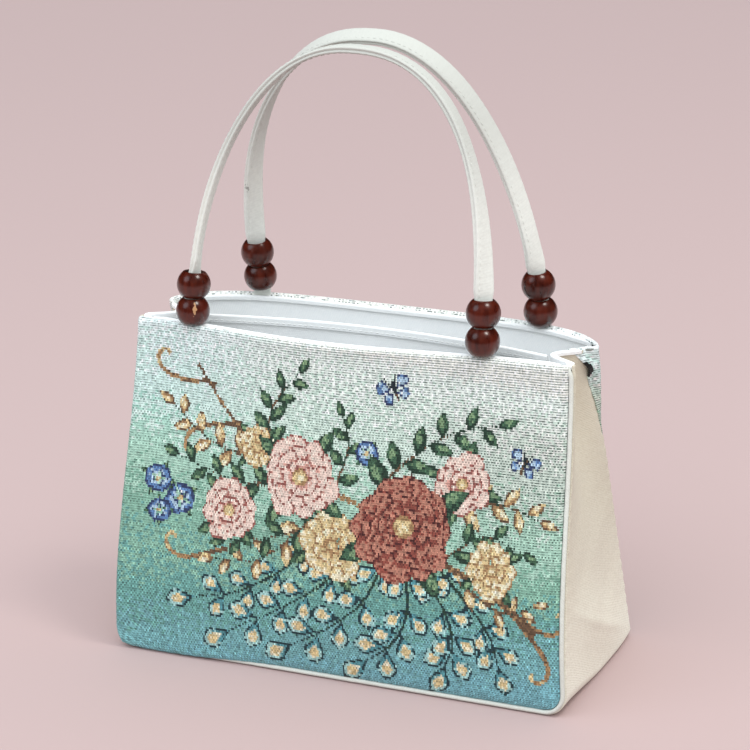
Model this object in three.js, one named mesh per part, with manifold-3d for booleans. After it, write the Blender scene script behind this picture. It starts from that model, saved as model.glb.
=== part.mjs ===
// Fabric handbag with two bead-trimmed strap handles.
// Millimetres, origin at the middle of the base on the ground, X is the width,
// the front faces -Y and +Z is up.

import * as THREE from 'three';
import { mergeVertices } from 'three/addons/utils/BufferGeometryUtils.js';
import Module from 'manifold-3d';

const wasm = await Module();
wasm.setup();

// Body
const BASE_WIDTH = 250;
const MOUTH_WIDTH = 236;
const FRONT_BASE = -52.2;
const BACK_BASE = 54.5;
const HEIGHT = 174;
const BACK_RISE = 1.5;
const WALL = 1.8;
// Bottom corners: wide at the front seam, tight from there to the back seam
const CORNER = { front: 12, back: 4.2, reach: 0.3 };

// Plan of the mouth: where the rims end at the side seams and how far they bow out
const FRONT_RIM = { end: -23.3, bow: 9.3, peakX: -12, reach: 112 };
const BACK_RIM = { end: 6, bow: 27.5, overhang: 1.0, start: 1.6 };
const BELLY = 2.0;
const PUFF = 1.4;

// Side gusset: the inward fold at the mouth and the soft crease near the base
const FOLD_DEPTH = 15;
const FOLD_START = 0.38;
const CREASE = { height: 2.0, frontZ: 57, backZ: 6, spread: 17 };

// Seam piping
const PIPE_RADIUS = 1.35;
const PIPE_INSET = 1.5;
const PANEL_INSET = 3.1;
const SEAM_BACKSET = 0.9;
const GUSSET_SETBACK = SEAM_BACKSET + PIPE_RADIUS + 0.3;

// Hem, lining and the inner divider
const GAP = 0.45;
const HEM = { depth: 9, fold: 1.9, taper: 12 };
const HEM_LINE = HEIGHT - HEM.depth;
const LINING = { wall: 1.0, rise: 0.5 };
const DIVIDER = { wall: 1.2, top: 173, bow: 12.5, clearance: 0.4 };

// Handles: one row per strap. A leg's turn power says how fast it loses its turn on the way up.
const STRAPS = [
  { name: 'front', side: -1, middle: -7.2, half: 77.4, top: 315.6, lean: 23.5, power: 2.4,
    sway: 3.5, pace: 1, pitchLeft: 14.7, pitchRight: 15.9, turnLeft: 0.25, turnRight: 2.5 },
  { name: 'back', side: 1, middle: 5, half: 77.8, top: 321.6, lean: -18.8, power: 2.25,
    sway: -5, pace: 1.4, pitchLeft: 14.3, pitchRight: 14.3, turnLeft: 2.5, turnRight: 0.25 },
];
const STRAP_TURN = 55;
const STRAP = { width: 10.6, thick: 3.2, neckWidth: 8.4, neckThick: 2.8, tail: 7, tailThick: 1.3 };
const BEAD = { radius: 8.75, height: 13.8, bore: 4.95, lift: 0.5 };

// Mesh densities
const ARC_STEPS = 4;
const SIDE_STEPS = 8;
const PANEL_COLUMNS = 18;
const GUSSET_COLUMNS = 8;
const BASE_COLUMNS = 8;
const DIVIDER_COLUMNS = 10;
const STRAP_STEPS = 36;
const BEAD_SEGMENTS = 12;
const BEAD_ARC_STEPS = 6;

const COLOURS = {
  tapestry: 0x9fc4bb,
  canvas: 0xefe6d6,
  lining: 0xe9eef4,
  wood: 0x4a1a12,
};

const lerp = (a, b, t) => a + (b - a) * t;
const clamp = (t, low, high) => Math.min(Math.max(t, low), high);
const vector = (x, y, z) => new THREE.Vector3(x, y, z);

function smooth(t) {
  const c = clamp(t, 0, 1);
  return c * c * (3 - 2 * c);
}

// Outline of the body seen from the front, with an inset from the outer face.
function halfWidth(z) {
  return lerp(BASE_WIDTH, MOUTH_WIDTH, clamp(z / HEIGHT, 0, 1)) / 2;
}

function cornerRadius(v) {
  return lerp(CORNER.front, CORNER.back, smooth(v / CORNER.reach));
}

function cornerX(radius) {
  return halfWidth(radius) - radius;
}

function outlineX(z, inset, radius) {
  if (z >= radius) {
    return halfWidth(z) - inset;
  }
  const bend = radius - inset;
  const drop = radius - z;
  return cornerX(radius) + Math.sqrt(Math.max(bend * bend - drop * drop, 0));
}

// Heights of the rows from the base edge up to the rim, round the bottom corner first.
function rowHeights(inset, top, radius) {
  const rows = [];
  for (let i = 0; i < ARC_STEPS; i += 1) {
    const angle = (i / ARC_STEPS) * Math.PI / 2;
    rows.push(radius - (radius - inset) * Math.cos(angle));
  }
  for (let i = 0; i <= SIDE_STEPS; i += 1) {
    rows.push(lerp(radius, HEM_LINE - 2, i / SIDE_STEPS));
  }
  rows.push(HEM_LINE, top);
  return rows;
}

// Side seams seen from the side.
function frontEdge(z) {
  return lerp(FRONT_BASE, FRONT_RIM.end, smooth((z / HEIGHT - 0.12) / 0.95));
}

function backEdge(z) {
  const t = (z - CORNER.back) / (HEIGHT - CORNER.back);
  return lerp(BACK_BASE, BACK_RIM.end, clamp(t, 0, 1));
}

function puff(x, z, radius) {
  const toSeam = Math.min(outlineX(z, 0, radius) - Math.abs(x), z);
  return PUFF * (1 - Math.exp(-Math.max(toSeam - PANEL_INSET, 0) / 6));
}

// Front panel surface, a depth in from its outer face.
function frontPoint(x, z, depth) {
  const t = clamp(z / HEIGHT, 0, 1);
  const across = clamp((x - FRONT_RIM.peakX) / FRONT_RIM.reach, -1, 1);
  const bow = FRONT_RIM.bow * (t ** 1.5) * (1 + Math.cos(Math.PI * across)) / 2;
  const u = x / halfWidth(z);
  const belly = BELLY * Math.sin(Math.PI * t) * (1 - u * u);
  const y = frontEdge(z) - bow - belly - puff(x, z, CORNER.front);
  return vector(x, y + depth * 1.03, z);
}

// Back panel surface: a level curve that wraps round to the side seams at the mouth.
function backCurve(z) {
  const t = clamp(z / HEIGHT, 0, 1);
  const shape = smooth(t);
  const spread = smooth((t - 0.7) / 0.3);
  const start = BACK_RIM.start * smooth((t - 0.55) / 0.3);
  const reach = outlineX(z, lerp(PANEL_INSET, -BACK_RIM.overhang, spread), CORNER.back);
  const points = [];
  for (let i = 0; i <= 80; i += 1) {
    const u = Math.sin(lerp(-0.5, 0.5, i / 80) * Math.PI);
    const bulge = Math.max(1 - Math.abs(u) ** lerp(2, 4, shape), 0) ** lerp(1, 0.625, shape);
    const y = backEdge(z) + start + BACK_RIM.bow * (t ** 1.8) * bulge;
    const x = u * reach;
    const belly = BELLY * Math.sin(Math.PI * t) * (1 - u * u);
    points.push(vector(x, y + puff(x, z, CORNER.back) + belly, z));
  }
  return new THREE.CatmullRomCurve3(points, false, 'centripetal');
}

function backRow(z, depths) {
  const curve = backCurve(z);
  const up = vector(0, 0, 1);
  return depths.map((depth) => {
    const row = [];
    for (let i = 0; i <= PANEL_COLUMNS; i += 1) {
      const s = i / PANEL_COLUMNS;
      const normal = curve.getTangentAt(s).cross(up).normalize();
      row.push(curve.getPointAt(s).addScaledVector(normal, depth(s) * 1.03));
    }
    return row;
  });
}

// Side of the gusset, v runs from the front seam to the back seam.
function sidePoint(side, v, z, depth) {
  const t = clamp(z / HEIGHT, 0, 1);
  const front = frontEdge(z) + GUSSET_SETBACK;
  const back = backEdge(z) - GUSSET_SETBACK;
  const amount = FOLD_DEPTH * smooth((t - FOLD_START) / (1 - FOLD_START));
  const wave = Math.sin(Math.PI * v);
  const fold = amount * wave * wave;
  const slope = amount * Math.PI * Math.sin(2 * Math.PI * v) / (back - front);
  const crease = (z - lerp(CREASE.frontZ, CREASE.backZ, v)) / CREASE.spread;
  const bulge = CREASE.height * Math.exp(-crease * crease) * wave;
  const length = Math.hypot(1, slope);
  const x = outlineX(z, depth, cornerRadius(v)) + depth - fold + bulge - depth / length;
  const y = lerp(front, back, v) - depth * slope / length;
  return vector(side * x, y, z);
}

// Solid between two grids of points with the same rows and columns.
function sheetSolid(outer, inner) {
  const rows = outer.length;
  const columns = outer[0].length;
  const positions = [...outer.flat(), ...inner.flat()].flatMap((p) => [p.x, p.y, p.z]);
  const faces = [];
  const at = (layer, i, j) => layer * rows * columns + i * columns + j;
  const quad = (a, b, c, d) => faces.push(a, b, c, a, c, d);
  for (let i = 0; i + 1 < rows; i += 1) {
    for (let j = 0; j + 1 < columns; j += 1) {
      quad(at(0, i, j), at(0, i, j + 1), at(0, i + 1, j + 1), at(0, i + 1, j));
      quad(at(1, i, j), at(1, i + 1, j), at(1, i + 1, j + 1), at(1, i, j + 1));
    }
  }
  for (let i = 0; i + 1 < rows; i += 1) {
    const last = columns - 1;
    quad(at(0, i, 0), at(0, i + 1, 0), at(1, i + 1, 0), at(1, i, 0));
    quad(at(0, i, last), at(1, i, last), at(1, i + 1, last), at(0, i + 1, last));
  }
  for (let j = 0; j + 1 < columns; j += 1) {
    const last = rows - 1;
    quad(at(0, 0, j), at(1, 0, j), at(1, 0, j + 1), at(0, 0, j + 1));
    quad(at(0, last, j), at(0, last, j + 1), at(1, last, j + 1), at(1, last, j));
  }
  return closedGeometry(positions, faces);
}

// Solid through a run of rings with the same number of points.
function ringSolid(rings) {
  const count = rings[0].length;
  const positions = rings.flat().flatMap((p) => [p.x, p.y, p.z]);
  const faces = [];
  for (let i = 0; i + 1 < rings.length; i += 1) {
    for (let j = 0; j < count; j += 1) {
      const k = (j + 1) % count;
      const a = i * count;
      const b = a + count;
      faces.push(a + j, a + k, b + k, a + j, b + k, b + j);
    }
  }
  const end = (rings.length - 1) * count;
  for (let j = 1; j + 1 < count; j += 1) {
    faces.push(0, j + 1, j, end, end + j, end + j + 1);
  }
  return closedGeometry(positions, faces);
}

// Open-topped shell between an outer and an inner stack of loops.
function cupSolid(outer, inner) {
  const count = outer[0].length;
  const levels = outer.length;
  const middle = (loop) => loop.reduce((sum, p) => sum.add(p), vector(0, 0, 0)).divideScalar(count);
  const points = [...outer.flat(), ...inner.flat(), middle(outer[0]), middle(inner[0])];
  const faces = [];
  const size = levels * count;
  const quad = (a, b, c, d) => faces.push(a, b, c, a, c, d);
  for (let j = 0; j < count; j += 1) {
    const k = (j + 1) % count;
    for (let i = 0; i + 1 < levels; i += 1) {
      const a = i * count;
      const b = a + count;
      quad(a + j, a + k, b + k, b + j);
      quad(size + a + j, size + b + j, size + b + k, size + a + k);
    }
    const top = (levels - 1) * count;
    quad(top + j, top + k, size + top + k, size + top + j);
    faces.push(2 * size, k, j);
    faces.push(2 * size + 1, size + j, size + k);
  }
  return closedGeometry(points.flatMap((p) => [p.x, p.y, p.z]), faces);
}

function signedVolume(positions, faces) {
  let sum = 0;
  const a = vector(0, 0, 0);
  const b = vector(0, 0, 0);
  const c = vector(0, 0, 0);
  for (let i = 0; i < faces.length; i += 3) {
    a.fromArray(positions, faces[i] * 3);
    b.fromArray(positions, faces[i + 1] * 3);
    c.fromArray(positions, faces[i + 2] * 3);
    sum += a.dot(b.cross(c));
  }
  return sum;
}

function closedGeometry(positions, faces) {
  const turned = signedVolume(positions, faces) < 0 ? faces.slice().reverse() : faces;
  const geometry = new THREE.BufferGeometry();
  geometry.setAttribute('position', new THREE.Float32BufferAttribute(positions, 3));
  geometry.setIndex(turned);
  return geometry;
}

function toManifold(geometry) {
  return new wasm.Manifold(new wasm.Mesh({
    numProp: 3,
    vertProperties: new Float32Array(geometry.attributes.position.array),
    triVerts: new Uint32Array(geometry.index.array),
  }));
}

function fromManifold(solid) {
  const mesh = solid.getMesh();
  const geometry = new THREE.BufferGeometry();
  const positions = Array.from(mesh.vertProperties);
  geometry.setAttribute('position', new THREE.Float32BufferAttribute(positions, 3));
  geometry.setIndex(Array.from(mesh.triVerts));
  return mergeVertices(geometry, 1e-4);
}

function boxGeometry(width, depth, height) {
  const geometry = new THREE.BoxGeometry(width, depth, height);
  geometry.deleteAttribute('normal');
  geometry.deleteAttribute('uv');
  return mergeVertices(geometry);
}

const group = new THREE.Group();

function addPiece(name, geometry, colour) {
  const material = new THREE.MeshStandardMaterial({ color: colour, roughness: 0.8 });
  const mesh = new THREE.Mesh(geometry, material);
  mesh.name = name;
  group.add(mesh);
}

// The hem folds the panel's cloth in at the rim, and tapers away at the side seams.
function hemFold(x, z) {
  if (z < HEM_LINE) {
    return 0;
  }
  return HEM.fold * smooth((halfWidth(z) - PANEL_INSET - Math.abs(x)) / HEM.taper);
}

const BACK_TOP = HEIGHT + BACK_RISE;

function frontPanel() {
  const outer = [];
  const inner = [];
  for (const z of rowHeights(PANEL_INSET, HEIGHT, CORNER.front)) {
    const reach = outlineX(z, PANEL_INSET, CORNER.front);
    const outerRow = [];
    const innerRow = [];
    for (let j = 0; j <= PANEL_COLUMNS; j += 1) {
      const x = reach * Math.sin(lerp(-0.5, 0.5, j / PANEL_COLUMNS) * Math.PI);
      outerRow.push(frontPoint(x, z, 0));
      innerRow.push(frontPoint(x, z, WALL + hemFold(x, z)));
    }
    outer.push(outerRow);
    inner.push(innerRow);
  }
  return sheetSolid(outer, inner);
}

function backHem(z) {
  const reach = halfWidth(z) - PANEL_INSET;
  return (s) => hemFold(reach * lerp(-1, 1, s), z);
}

function backPanel() {
  const outer = [];
  const inner = [];
  for (const z of rowHeights(PANEL_INSET, BACK_TOP, CORNER.back)) {
    const fold = backHem(z);
    const [outerRow, innerRow] = backRow(z, [() => 0, (s) => WALL + fold(s)]);
    outer.push(outerRow.reverse());
    inner.push(innerRow.reverse());
  }
  return sheetSolid(outer, inner);
}

// One strip: down one side, across the base and up the other side.
function gussetGrid(depth) {
  const across = (point) => {
    const row = [];
    for (let j = 0; j <= GUSSET_COLUMNS; j += 1) {
      row.push(point(j / GUSSET_COLUMNS));
    }
    return row;
  };
  const sideRow = (side, i) => across((v) => {
    const heights = rowHeights(depth, HEIGHT, cornerRadius(v));
    return sidePoint(side, v, heights[i], depth);
  });
  const count = rowHeights(depth, HEIGHT, CORNER.front).length;
  const grid = [];
  for (let i = count - 1; i > 0; i -= 1) {
    grid.push(sideRow(-1, i));
  }
  const front = frontEdge(0) + GUSSET_SETBACK;
  const back = backEdge(0) - GUSSET_SETBACK;
  for (let i = 0; i <= BASE_COLUMNS; i += 1) {
    const share = lerp(-1, 1, i / BASE_COLUMNS);
    grid.push(across((v) => vector(share * cornerX(cornerRadius(v)), lerp(front, back, v), depth)));
  }
  for (let i = 1; i < count; i += 1) {
    grid.push(sideRow(1, i));
  }
  return grid;
}

// Piping: a cord round the seam between a panel and the gusset.
function piping(edge, side, radius) {
  const heights = rowHeights(PIPE_INSET, HEIGHT, radius);
  const path = [];
  const place = (x, z) => path.push(vector(x, edge(z) - side * SEAM_BACKSET, z));
  heights.slice(1).reverse().forEach((z) => place(-outlineX(z, PIPE_INSET, radius), z));
  for (let i = 0; i <= BASE_COLUMNS; i += 1) {
    place(cornerX(radius) * lerp(-1, 1, i / BASE_COLUMNS), PIPE_INSET);
  }
  heights.slice(1).forEach((z) => place(outlineX(z, PIPE_INSET, radius), z));
  const rings = path.map((point, i) => {
    const ahead = path[Math.min(i + 1, path.length - 1)];
    const behind = path[Math.max(i - 1, 0)];
    const along = ahead.clone().sub(behind).normalize();
    const across = vector(0, 1, 0).addScaledVector(along, -along.y).normalize();
    const outward = along.clone().cross(across);
    const ring = [];
    for (let k = 0; k < 8; k += 1) {
      const angle = (k / 8) * 2 * Math.PI;
      const p = point.clone().addScaledVector(across, PIPE_RADIUS * Math.cos(angle));
      ring.push(p.addScaledVector(outward, PIPE_RADIUS * Math.sin(angle)));
    }
    return ring;
  });
  return ringSolid(rings);
}

// Lining: one loop per row, front, right side, back, left side.
function liningLoop(i, depth, shy) {
  const rows = (radius) => rowHeights(depth, HEIGHT, radius);
  const top = i === rows(CORNER.front).length - 1;
  const raised = (point, rim) => (top ? point.setZ(rim + LINING.rise) : point);
  const frontZ = rows(CORNER.front)[i];
  const backZ = rows(CORNER.back)[i];
  const loop = [];
  const high = smooth(frontZ / HEIGHT);
  const reach = outlineX(frontZ, depth, CORNER.front) - lerp(2.5, 5, high) - shy;
  for (let j = 0; j <= PANEL_COLUMNS; j += 1) {
    const x = reach * Math.sin(lerp(-0.5, 0.5, j / PANEL_COLUMNS) * Math.PI);
    loop.push(raised(frontPoint(x, frontZ, depth + hemFold(x, frontZ)), HEIGHT));
  }
  const skip = lerp(0.06, 0.17, high) + shy * 0.045;
  const sideRun = (side) => {
    const run = [];
    for (let j = 0; j <= GUSSET_COLUMNS; j += 1) {
      const v = lerp(skip, 1 - skip, j / GUSSET_COLUMNS);
      run.push(raised(sidePoint(side, v, rows(cornerRadius(v))[i], depth), HEIGHT));
    }
    return run;
  };
  loop.push(...sideRun(1));
  const fold = backHem(backZ);
  const [row] = backRow(backZ, [(s) => depth + fold(s)]);
  row.slice(1, -1).reverse().forEach((p) => loop.push(raised(p, BACK_TOP)));
  loop.push(...sideRun(-1).reverse());
  return loop;
}

function lining() {
  const depthOuter = WALL + GAP;
  const depthInner = depthOuter + LINING.wall;
  const stack = (depth, shy) => {
    const count = rowHeights(depth, HEIGHT, CORNER.front).length;
    return Array.from({ length: count }, (_, i) => liningLoop(i, depth, shy));
  };
  return cupSolid(stack(depthOuter, 0), stack(depthInner, 1));
}

// Divider: a cloth wall from fold to fold across the middle of the mouth.
function divider() {
  const depth = WALL + GAP + LINING.wall + DIVIDER.clearance;
  const heights = rowHeights(depth, DIVIDER.top, CORNER.back);
  const layer = (shift) => heights.map((z) => {
    const end = sidePoint(1, 0.5, z, depth);
    const row = [];
    for (let j = 0; j <= DIVIDER_COLUMNS; j += 1) {
      const u = lerp(-1, 1, j / DIVIDER_COLUMNS);
      const bow = DIVIDER.bow * smooth(z / HEIGHT) * (1 - u * u);
      row.push(vector(u * end.x, end.y + bow + shift, z));
    }
    return row;
  });
  return sheetSolid(layer(-DIVIDER.wall / 2), layer(DIVIDER.wall / 2));
}

// Depth of a panel's outer face at the rim.
function rimY(side, x) {
  if (side < 0) {
    return frontPoint(x, HEIGHT, 0).y;
  }
  const curve = backCurve(BACK_TOP);
  let low = 0;
  let high = 1;
  for (let i = 0; i < 30; i += 1) {
    const middle = (low + high) / 2;
    if (curve.getPointAt(middle).x < x) {
      low = middle;
    } else {
      high = middle;
    }
  }
  return curve.getPointAt(low).y;
}

// Where a strap leaves the hem, and the way the panel faces there.
function strapFoot(strap, sign) {
  const x = strap.middle + sign * strap.half;
  const slope = (rimY(strap.side, x + 1) - rimY(strap.side, x - 1)) / 2;
  const normal = vector(-slope, 1, 0).normalize().multiplyScalar(strap.side);
  const depth = WALL + HEM.fold / 2;
  const point = vector(x, rimY(strap.side, x), strap.side < 0 ? HEIGHT : BACK_TOP);
  point.addScaledVector(normal, -depth);
  return { point, normal };
}

const FEET = STRAPS.map((strap) => ({
  left: strapFoot(strap, -1),
  right: strapFoot(strap, 1),
}));

function footOf(strap, sign) {
  const feet = FEET[STRAPS.indexOf(strap)];
  return sign < 0 ? feet.left : feet.right;
}

// Centre line of a strap: s runs from -1 (left foot) through 0 (top) to 1 (right foot).
function strapPoint(strap, s) {
  const sign = s < 0 ? -1 : 1;
  const foot = footOf(strap, sign).point;
  const rise = strap.top - foot.z;
  const angle = (1 - Math.abs(s)) * Math.PI / 2;
  const other = footOf(strap, -sign).point;
  const half = (foot.x - other.x) / 2;
  const h = rise * Math.sin(angle) ** (2 / strap.power);
  const middle = (foot.x + other.x) / 2 + strap.sway * smooth(strap.pace * h / rise);
  const x = middle + half * Math.cos(angle) ** (2 / strap.power);
  const share = Math.cos(angle) ** 2;
  const start = lerp((foot.y + other.y) / 2, foot.y, share);
  return vector(x, start + strap.lean * (h / rise) ** 1.2, foot.z + h);
}

function strapPath(strap) {
  const points = [];
  const left = footOf(strap, -1).point;
  const right = footOf(strap, 1).point;
  points.push(left.clone().setZ(left.z - STRAP.tail), left.clone().setZ(left.z - STRAP.tail / 2));
  for (let i = 0; i <= 96; i += 1) {
    const s = lerp(-1, 1, i / 96);
    points.push(strapPoint(strap, Math.sign(s) * (1 - (1 - Math.abs(s)) ** 1.25)));
  }
  points.push(right.clone().setZ(right.z - STRAP.tail / 2), right.clone().setZ(right.z - STRAP.tail));
  return new THREE.CatmullRomCurve3(points, false, 'centripetal');
}

// Width direction: along Y at the top, turned towards the panel's plane at the feet.
function strapRing(strap, point, along) {
  const foot = footOf(strap, point.x - strap.middle);
  const rise = strap.top - foot.point.z;
  const h = point.z - foot.point.z;
  const power = point.x < strap.middle ? strap.turnLeft : strap.turnRight;
  const turned = STRAP_TURN * clamp(1 - (h - 26) / (rise - 26), 0, 1) ** power;
  const angle = THREE.MathUtils.degToRad(lerp(90, turned, smooth(h / 26)));
  const outward = vector(along.z, 0, -along.x).normalize();
  const normal = outward.multiplyScalar(-Math.cos(angle));
  normal.addScaledVector(foot.normal, Math.sin(angle));
  normal.addScaledVector(along, -normal.dot(along)).normalize();
  const wide = along.clone().cross(normal);
  const neck = smooth((h - 30) / 22);
  const width = lerp(STRAP.neckWidth, STRAP.width, neck) / 2;
  const full = lerp(STRAP.neckThick, STRAP.thick, neck);
  const thick = lerp(STRAP.tailThick, full, smooth((h - 0.6) / 2)) / 2;
  const ring = [];
  const corner = 0.62;
  const outline = [
    [1, corner], [1, -corner], [0.82, -1], [-0.82, -1],
    [-1, -corner], [-1, corner], [-0.82, 1], [0.82, 1],
  ];
  for (const [a, b] of outline) {
    const p = point.clone().addScaledVector(wide, a * width);
    ring.push(p.addScaledVector(normal, b * thick));
  }
  return ring;
}

function strapSolid(strap) {
  const curve = strapPath(strap);
  const length = curve.getLength();
  const stations = [0, STRAP.tail - 0.6, STRAP.tail + 0.6, STRAP.tail + 3, STRAP.tail + 9];
  const first = STRAP.tail + 16;
  const half = [...stations];
  for (let i = 0; i < STRAP_STEPS / 2; i += 1) {
    half.push(lerp(first, length / 2, i / (STRAP_STEPS / 2)));
  }
  const all = [...half, length / 2, ...half.map((d) => length - d).reverse()];
  const rings = all.map((d) => {
    const s = clamp(d / length, 0, 1);
    return strapRing(strap, curve.getPointAt(s), curve.getTangentAt(s));
  });
  return ringSolid(rings);
}

// Bead: a bored ball cut flat at both ends, threaded on the strap.
function beadGeometry() {
  const flat = BEAD.height / 2;
  const profile = [new THREE.Vector2(BEAD.bore, -flat)];
  const limit = Math.asin(flat / BEAD.radius);
  for (let i = 0; i <= BEAD_ARC_STEPS; i += 1) {
    const angle = lerp(-limit, limit, i / BEAD_ARC_STEPS);
    profile.push(new THREE.Vector2(BEAD.radius * Math.cos(angle), BEAD.radius * Math.sin(angle)));
  }
  profile.push(new THREE.Vector2(BEAD.bore, flat), new THREE.Vector2(BEAD.bore, -flat));
  const geometry = new THREE.LatheGeometry(profile, BEAD_SEGMENTS);
  geometry.deleteAttribute('normal');
  geometry.deleteAttribute('uv');
  return mergeVertices(geometry, 1e-3);
}

function addBeads(strap) {
  const curve = strapPath(strap);
  const length = curve.getLength();
  const legs = [['left', -1, strap.pitchLeft], ['right', 1, strap.pitchRight]];
  for (const [label, sign, pitch] of legs) {
    for (const [place, step] of [['lower', 0], ['upper', 1]]) {
      const d = STRAP.tail + LINING.rise + BEAD.lift + BEAD.height / 2 + step * pitch;
      const s = sign < 0 ? d / length : 1 - d / length;
      const along = curve.getTangentAt(s);
      if (along.z < 0) {
        along.negate();
      }
      const geometry = beadGeometry();
      const turn = new THREE.Quaternion().setFromUnitVectors(vector(0, 1, 0), along);
      geometry.applyQuaternion(turn);
      const p = curve.getPointAt(s);
      geometry.translate(p.x, p.y, p.z);
      addPiece(`bead_${strap.name}_${label}_${place}`, geometry, COLOURS.wood);
    }
  }
}

// Notches in the hem fold take the strap tails.
function notched(panel, strap) {
  let solid = toManifold(panel);
  for (const sign of [-1, 1]) {
    const { point, normal } = footOf(strap, sign);
    const size = { width: STRAP.neckWidth + 0.9, depth: 6, height: STRAP.tail * 2 + 1 };
    const inward = size.depth / 2 - STRAP.tailThick / 2 - 0.25;
    const centre = point.clone().addScaledVector(normal, -inward);
    const turn = Math.atan2(-normal.x * strap.side, normal.y * strap.side);
    const box = boxGeometry(size.width, size.depth, size.height).rotateZ(turn);
    solid = solid.subtract(toManifold(box.translate(centre.x, centre.y, centre.z)));
  }
  return fromManifold(solid);
}

const [FRONT_STRAP, BACK_STRAP] = STRAPS;

addPiece('front_panel', notched(frontPanel(), FRONT_STRAP), COLOURS.tapestry);
addPiece('back_panel', notched(backPanel(), BACK_STRAP), COLOURS.tapestry);
addPiece('gusset', sheetSolid(gussetGrid(0), gussetGrid(WALL)), COLOURS.canvas);
addPiece('piping_front', piping(frontEdge, -1, CORNER.front), COLOURS.canvas);
addPiece('piping_back', piping(backEdge, 1, CORNER.back), COLOURS.canvas);
addPiece('lining', lining(), COLOURS.lining);
addPiece('divider', divider(), COLOURS.lining);
for (const strap of STRAPS) {
  addPiece(`handle_${strap.name}`, strapSolid(strap), COLOURS.canvas);
  addBeads(strap);
}

export default group;
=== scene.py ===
"""Looks of a tapestry handbag with beaded strap handles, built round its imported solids.

Sizes inside the classes are millimetres in the part's own frame: X is the width, -Y the front
and +Z up. They become metres where a mesh is made.
"""

import logging
import math
from dataclasses import dataclass
from enum import Enum
from functools import partial
from typing import Callable, Iterator, Sequence

import bpy
import numpy as np
from mathutils import Matrix, Vector


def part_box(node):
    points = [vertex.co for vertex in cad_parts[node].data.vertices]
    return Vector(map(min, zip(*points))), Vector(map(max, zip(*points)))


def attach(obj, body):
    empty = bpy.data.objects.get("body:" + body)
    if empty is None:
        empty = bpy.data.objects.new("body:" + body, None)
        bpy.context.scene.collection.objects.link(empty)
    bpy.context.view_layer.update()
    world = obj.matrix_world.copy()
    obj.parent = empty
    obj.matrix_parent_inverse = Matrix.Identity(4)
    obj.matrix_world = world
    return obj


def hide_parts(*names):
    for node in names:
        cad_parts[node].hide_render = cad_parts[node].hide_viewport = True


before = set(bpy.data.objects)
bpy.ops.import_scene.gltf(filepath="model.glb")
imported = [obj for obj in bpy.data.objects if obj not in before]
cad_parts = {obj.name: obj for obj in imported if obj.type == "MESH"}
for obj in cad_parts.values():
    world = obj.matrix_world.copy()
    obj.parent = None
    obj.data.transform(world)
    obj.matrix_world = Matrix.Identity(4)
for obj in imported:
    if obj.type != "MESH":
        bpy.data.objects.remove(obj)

LOG = logging.getLogger("handbag")
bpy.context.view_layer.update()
ROOT = "root"
MM = 0.001
THREAD_LAYER = "thread"
SCUFF_ALONG = 66.5
SCUFF_OFFSET = (-2.4, 1.9)
CHIP_OFFSET = (1.3, 8.6)

Array = np.ndarray
Colour = tuple[float, float, float]
Spot = tuple[float, float, float]
Place = tuple[float, float]
Surface = Callable[[Array, Array], Array]
Piece = bpy.types.Object
Material = bpy.types.Material
Node = bpy.types.Node
Socket = bpy.types.NodeSocket
Tree = bpy.types.NodeTree
Value = Socket | float | Sequence[float]


def smooth(t: Array) -> Array:
    """Ease from 0 to 1 with level ends."""
    c = np.clip(t, 0.0, 1.0)
    return c * c * (3.0 - 2.0 * c)


def between(a: Array, b: Array, t: Array) -> Array:
    """Value a share of the way from one value to another."""
    return a + (b - a) * t


def linear(colour: Sequence[float]) -> Array:
    """Turn a screen colour of 0 to 255 into the linear values that shaders take."""
    c = np.asarray(colour, float) / 255.0
    return np.where(c <= 0.04045, c / 12.92, ((c + 0.055) / 1.055) ** 2.4)


def ripple(a: Array, b: Array, wave: float) -> Array:
    """Soft uneven swell of cloth.

    Args:
        a: First coordinate on the cloth.
        b: Second coordinate on the cloth.
        wave: Length of the main swell.

    Returns:
        Heights from about -1 to 1.
    """
    k = 2.0 * math.pi / wave
    first = np.sin(k * (a * 0.93 + b * 0.37) + 1.3 * np.sin(k * b * 0.41))
    second = np.sin(k * (a * -0.58 + b * 0.81) * 1.37 + 0.9)
    third = np.sin(k * (a * 0.31 - b * 1.13) * 2.1 + 2.2 * np.sin(k * a * 0.23))
    return (first + 0.7 * second + 0.45 * third) / 2.0


def metres(values: Sequence[float]) -> tuple[float, ...]:
    """Millimetres as metres."""
    return tuple(value * MM for value in values)


def unit(rows: Array) -> Array:
    """Vectors brought to a length of one."""
    return rows / np.linalg.norm(rows, axis=-1, keepdims=True)


def lengths(path: Array) -> Array:
    """Distance along a path at each of its points."""
    return np.concatenate([[0.0], np.cumsum(np.linalg.norm(np.diff(path, axis=0), axis=1))])


def sample(at: Array | float, run: Array, rows: Array) -> Array:
    """Rows of a table read at distances along a path."""
    return np.stack([np.interp(at, run, column) for column in rows.T], -1)


def by_level(up: Array) -> Iterator[tuple[float, Array]]:
    """Each level of a sheet, with a mask of its points."""
    for value in np.unique(np.round(up, 6)):
        yield float(value), np.abs(up - value) < 1e-5


def turned_hem(run: Array, straight: float, radius: float) -> tuple[Array, Array]:
    """Follow cloth up a wall, over a turned rim and down again.

    Args:
        run: Lengths of cloth from its lower edge.
        straight: Length of the wall.
        radius: Radius of the turn.

    Returns:
        Heights, and distances turned away from the wall.
    """
    angle = np.clip((run - straight) / radius, 0, math.pi)
    down = np.maximum(run - straight - math.pi * radius, 0)
    return np.minimum(run, straight) + radius * np.sin(angle) - down, radius * (1 - np.cos(angle))


def select_only(obj: Piece) -> None:
    """Make one object the only selected one, and active.

    Args:
        obj: Object to work on.
    """
    bpy.ops.object.select_all(action="DESELECT")
    obj.select_set(True)
    bpy.context.view_layer.objects.active = obj


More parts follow.
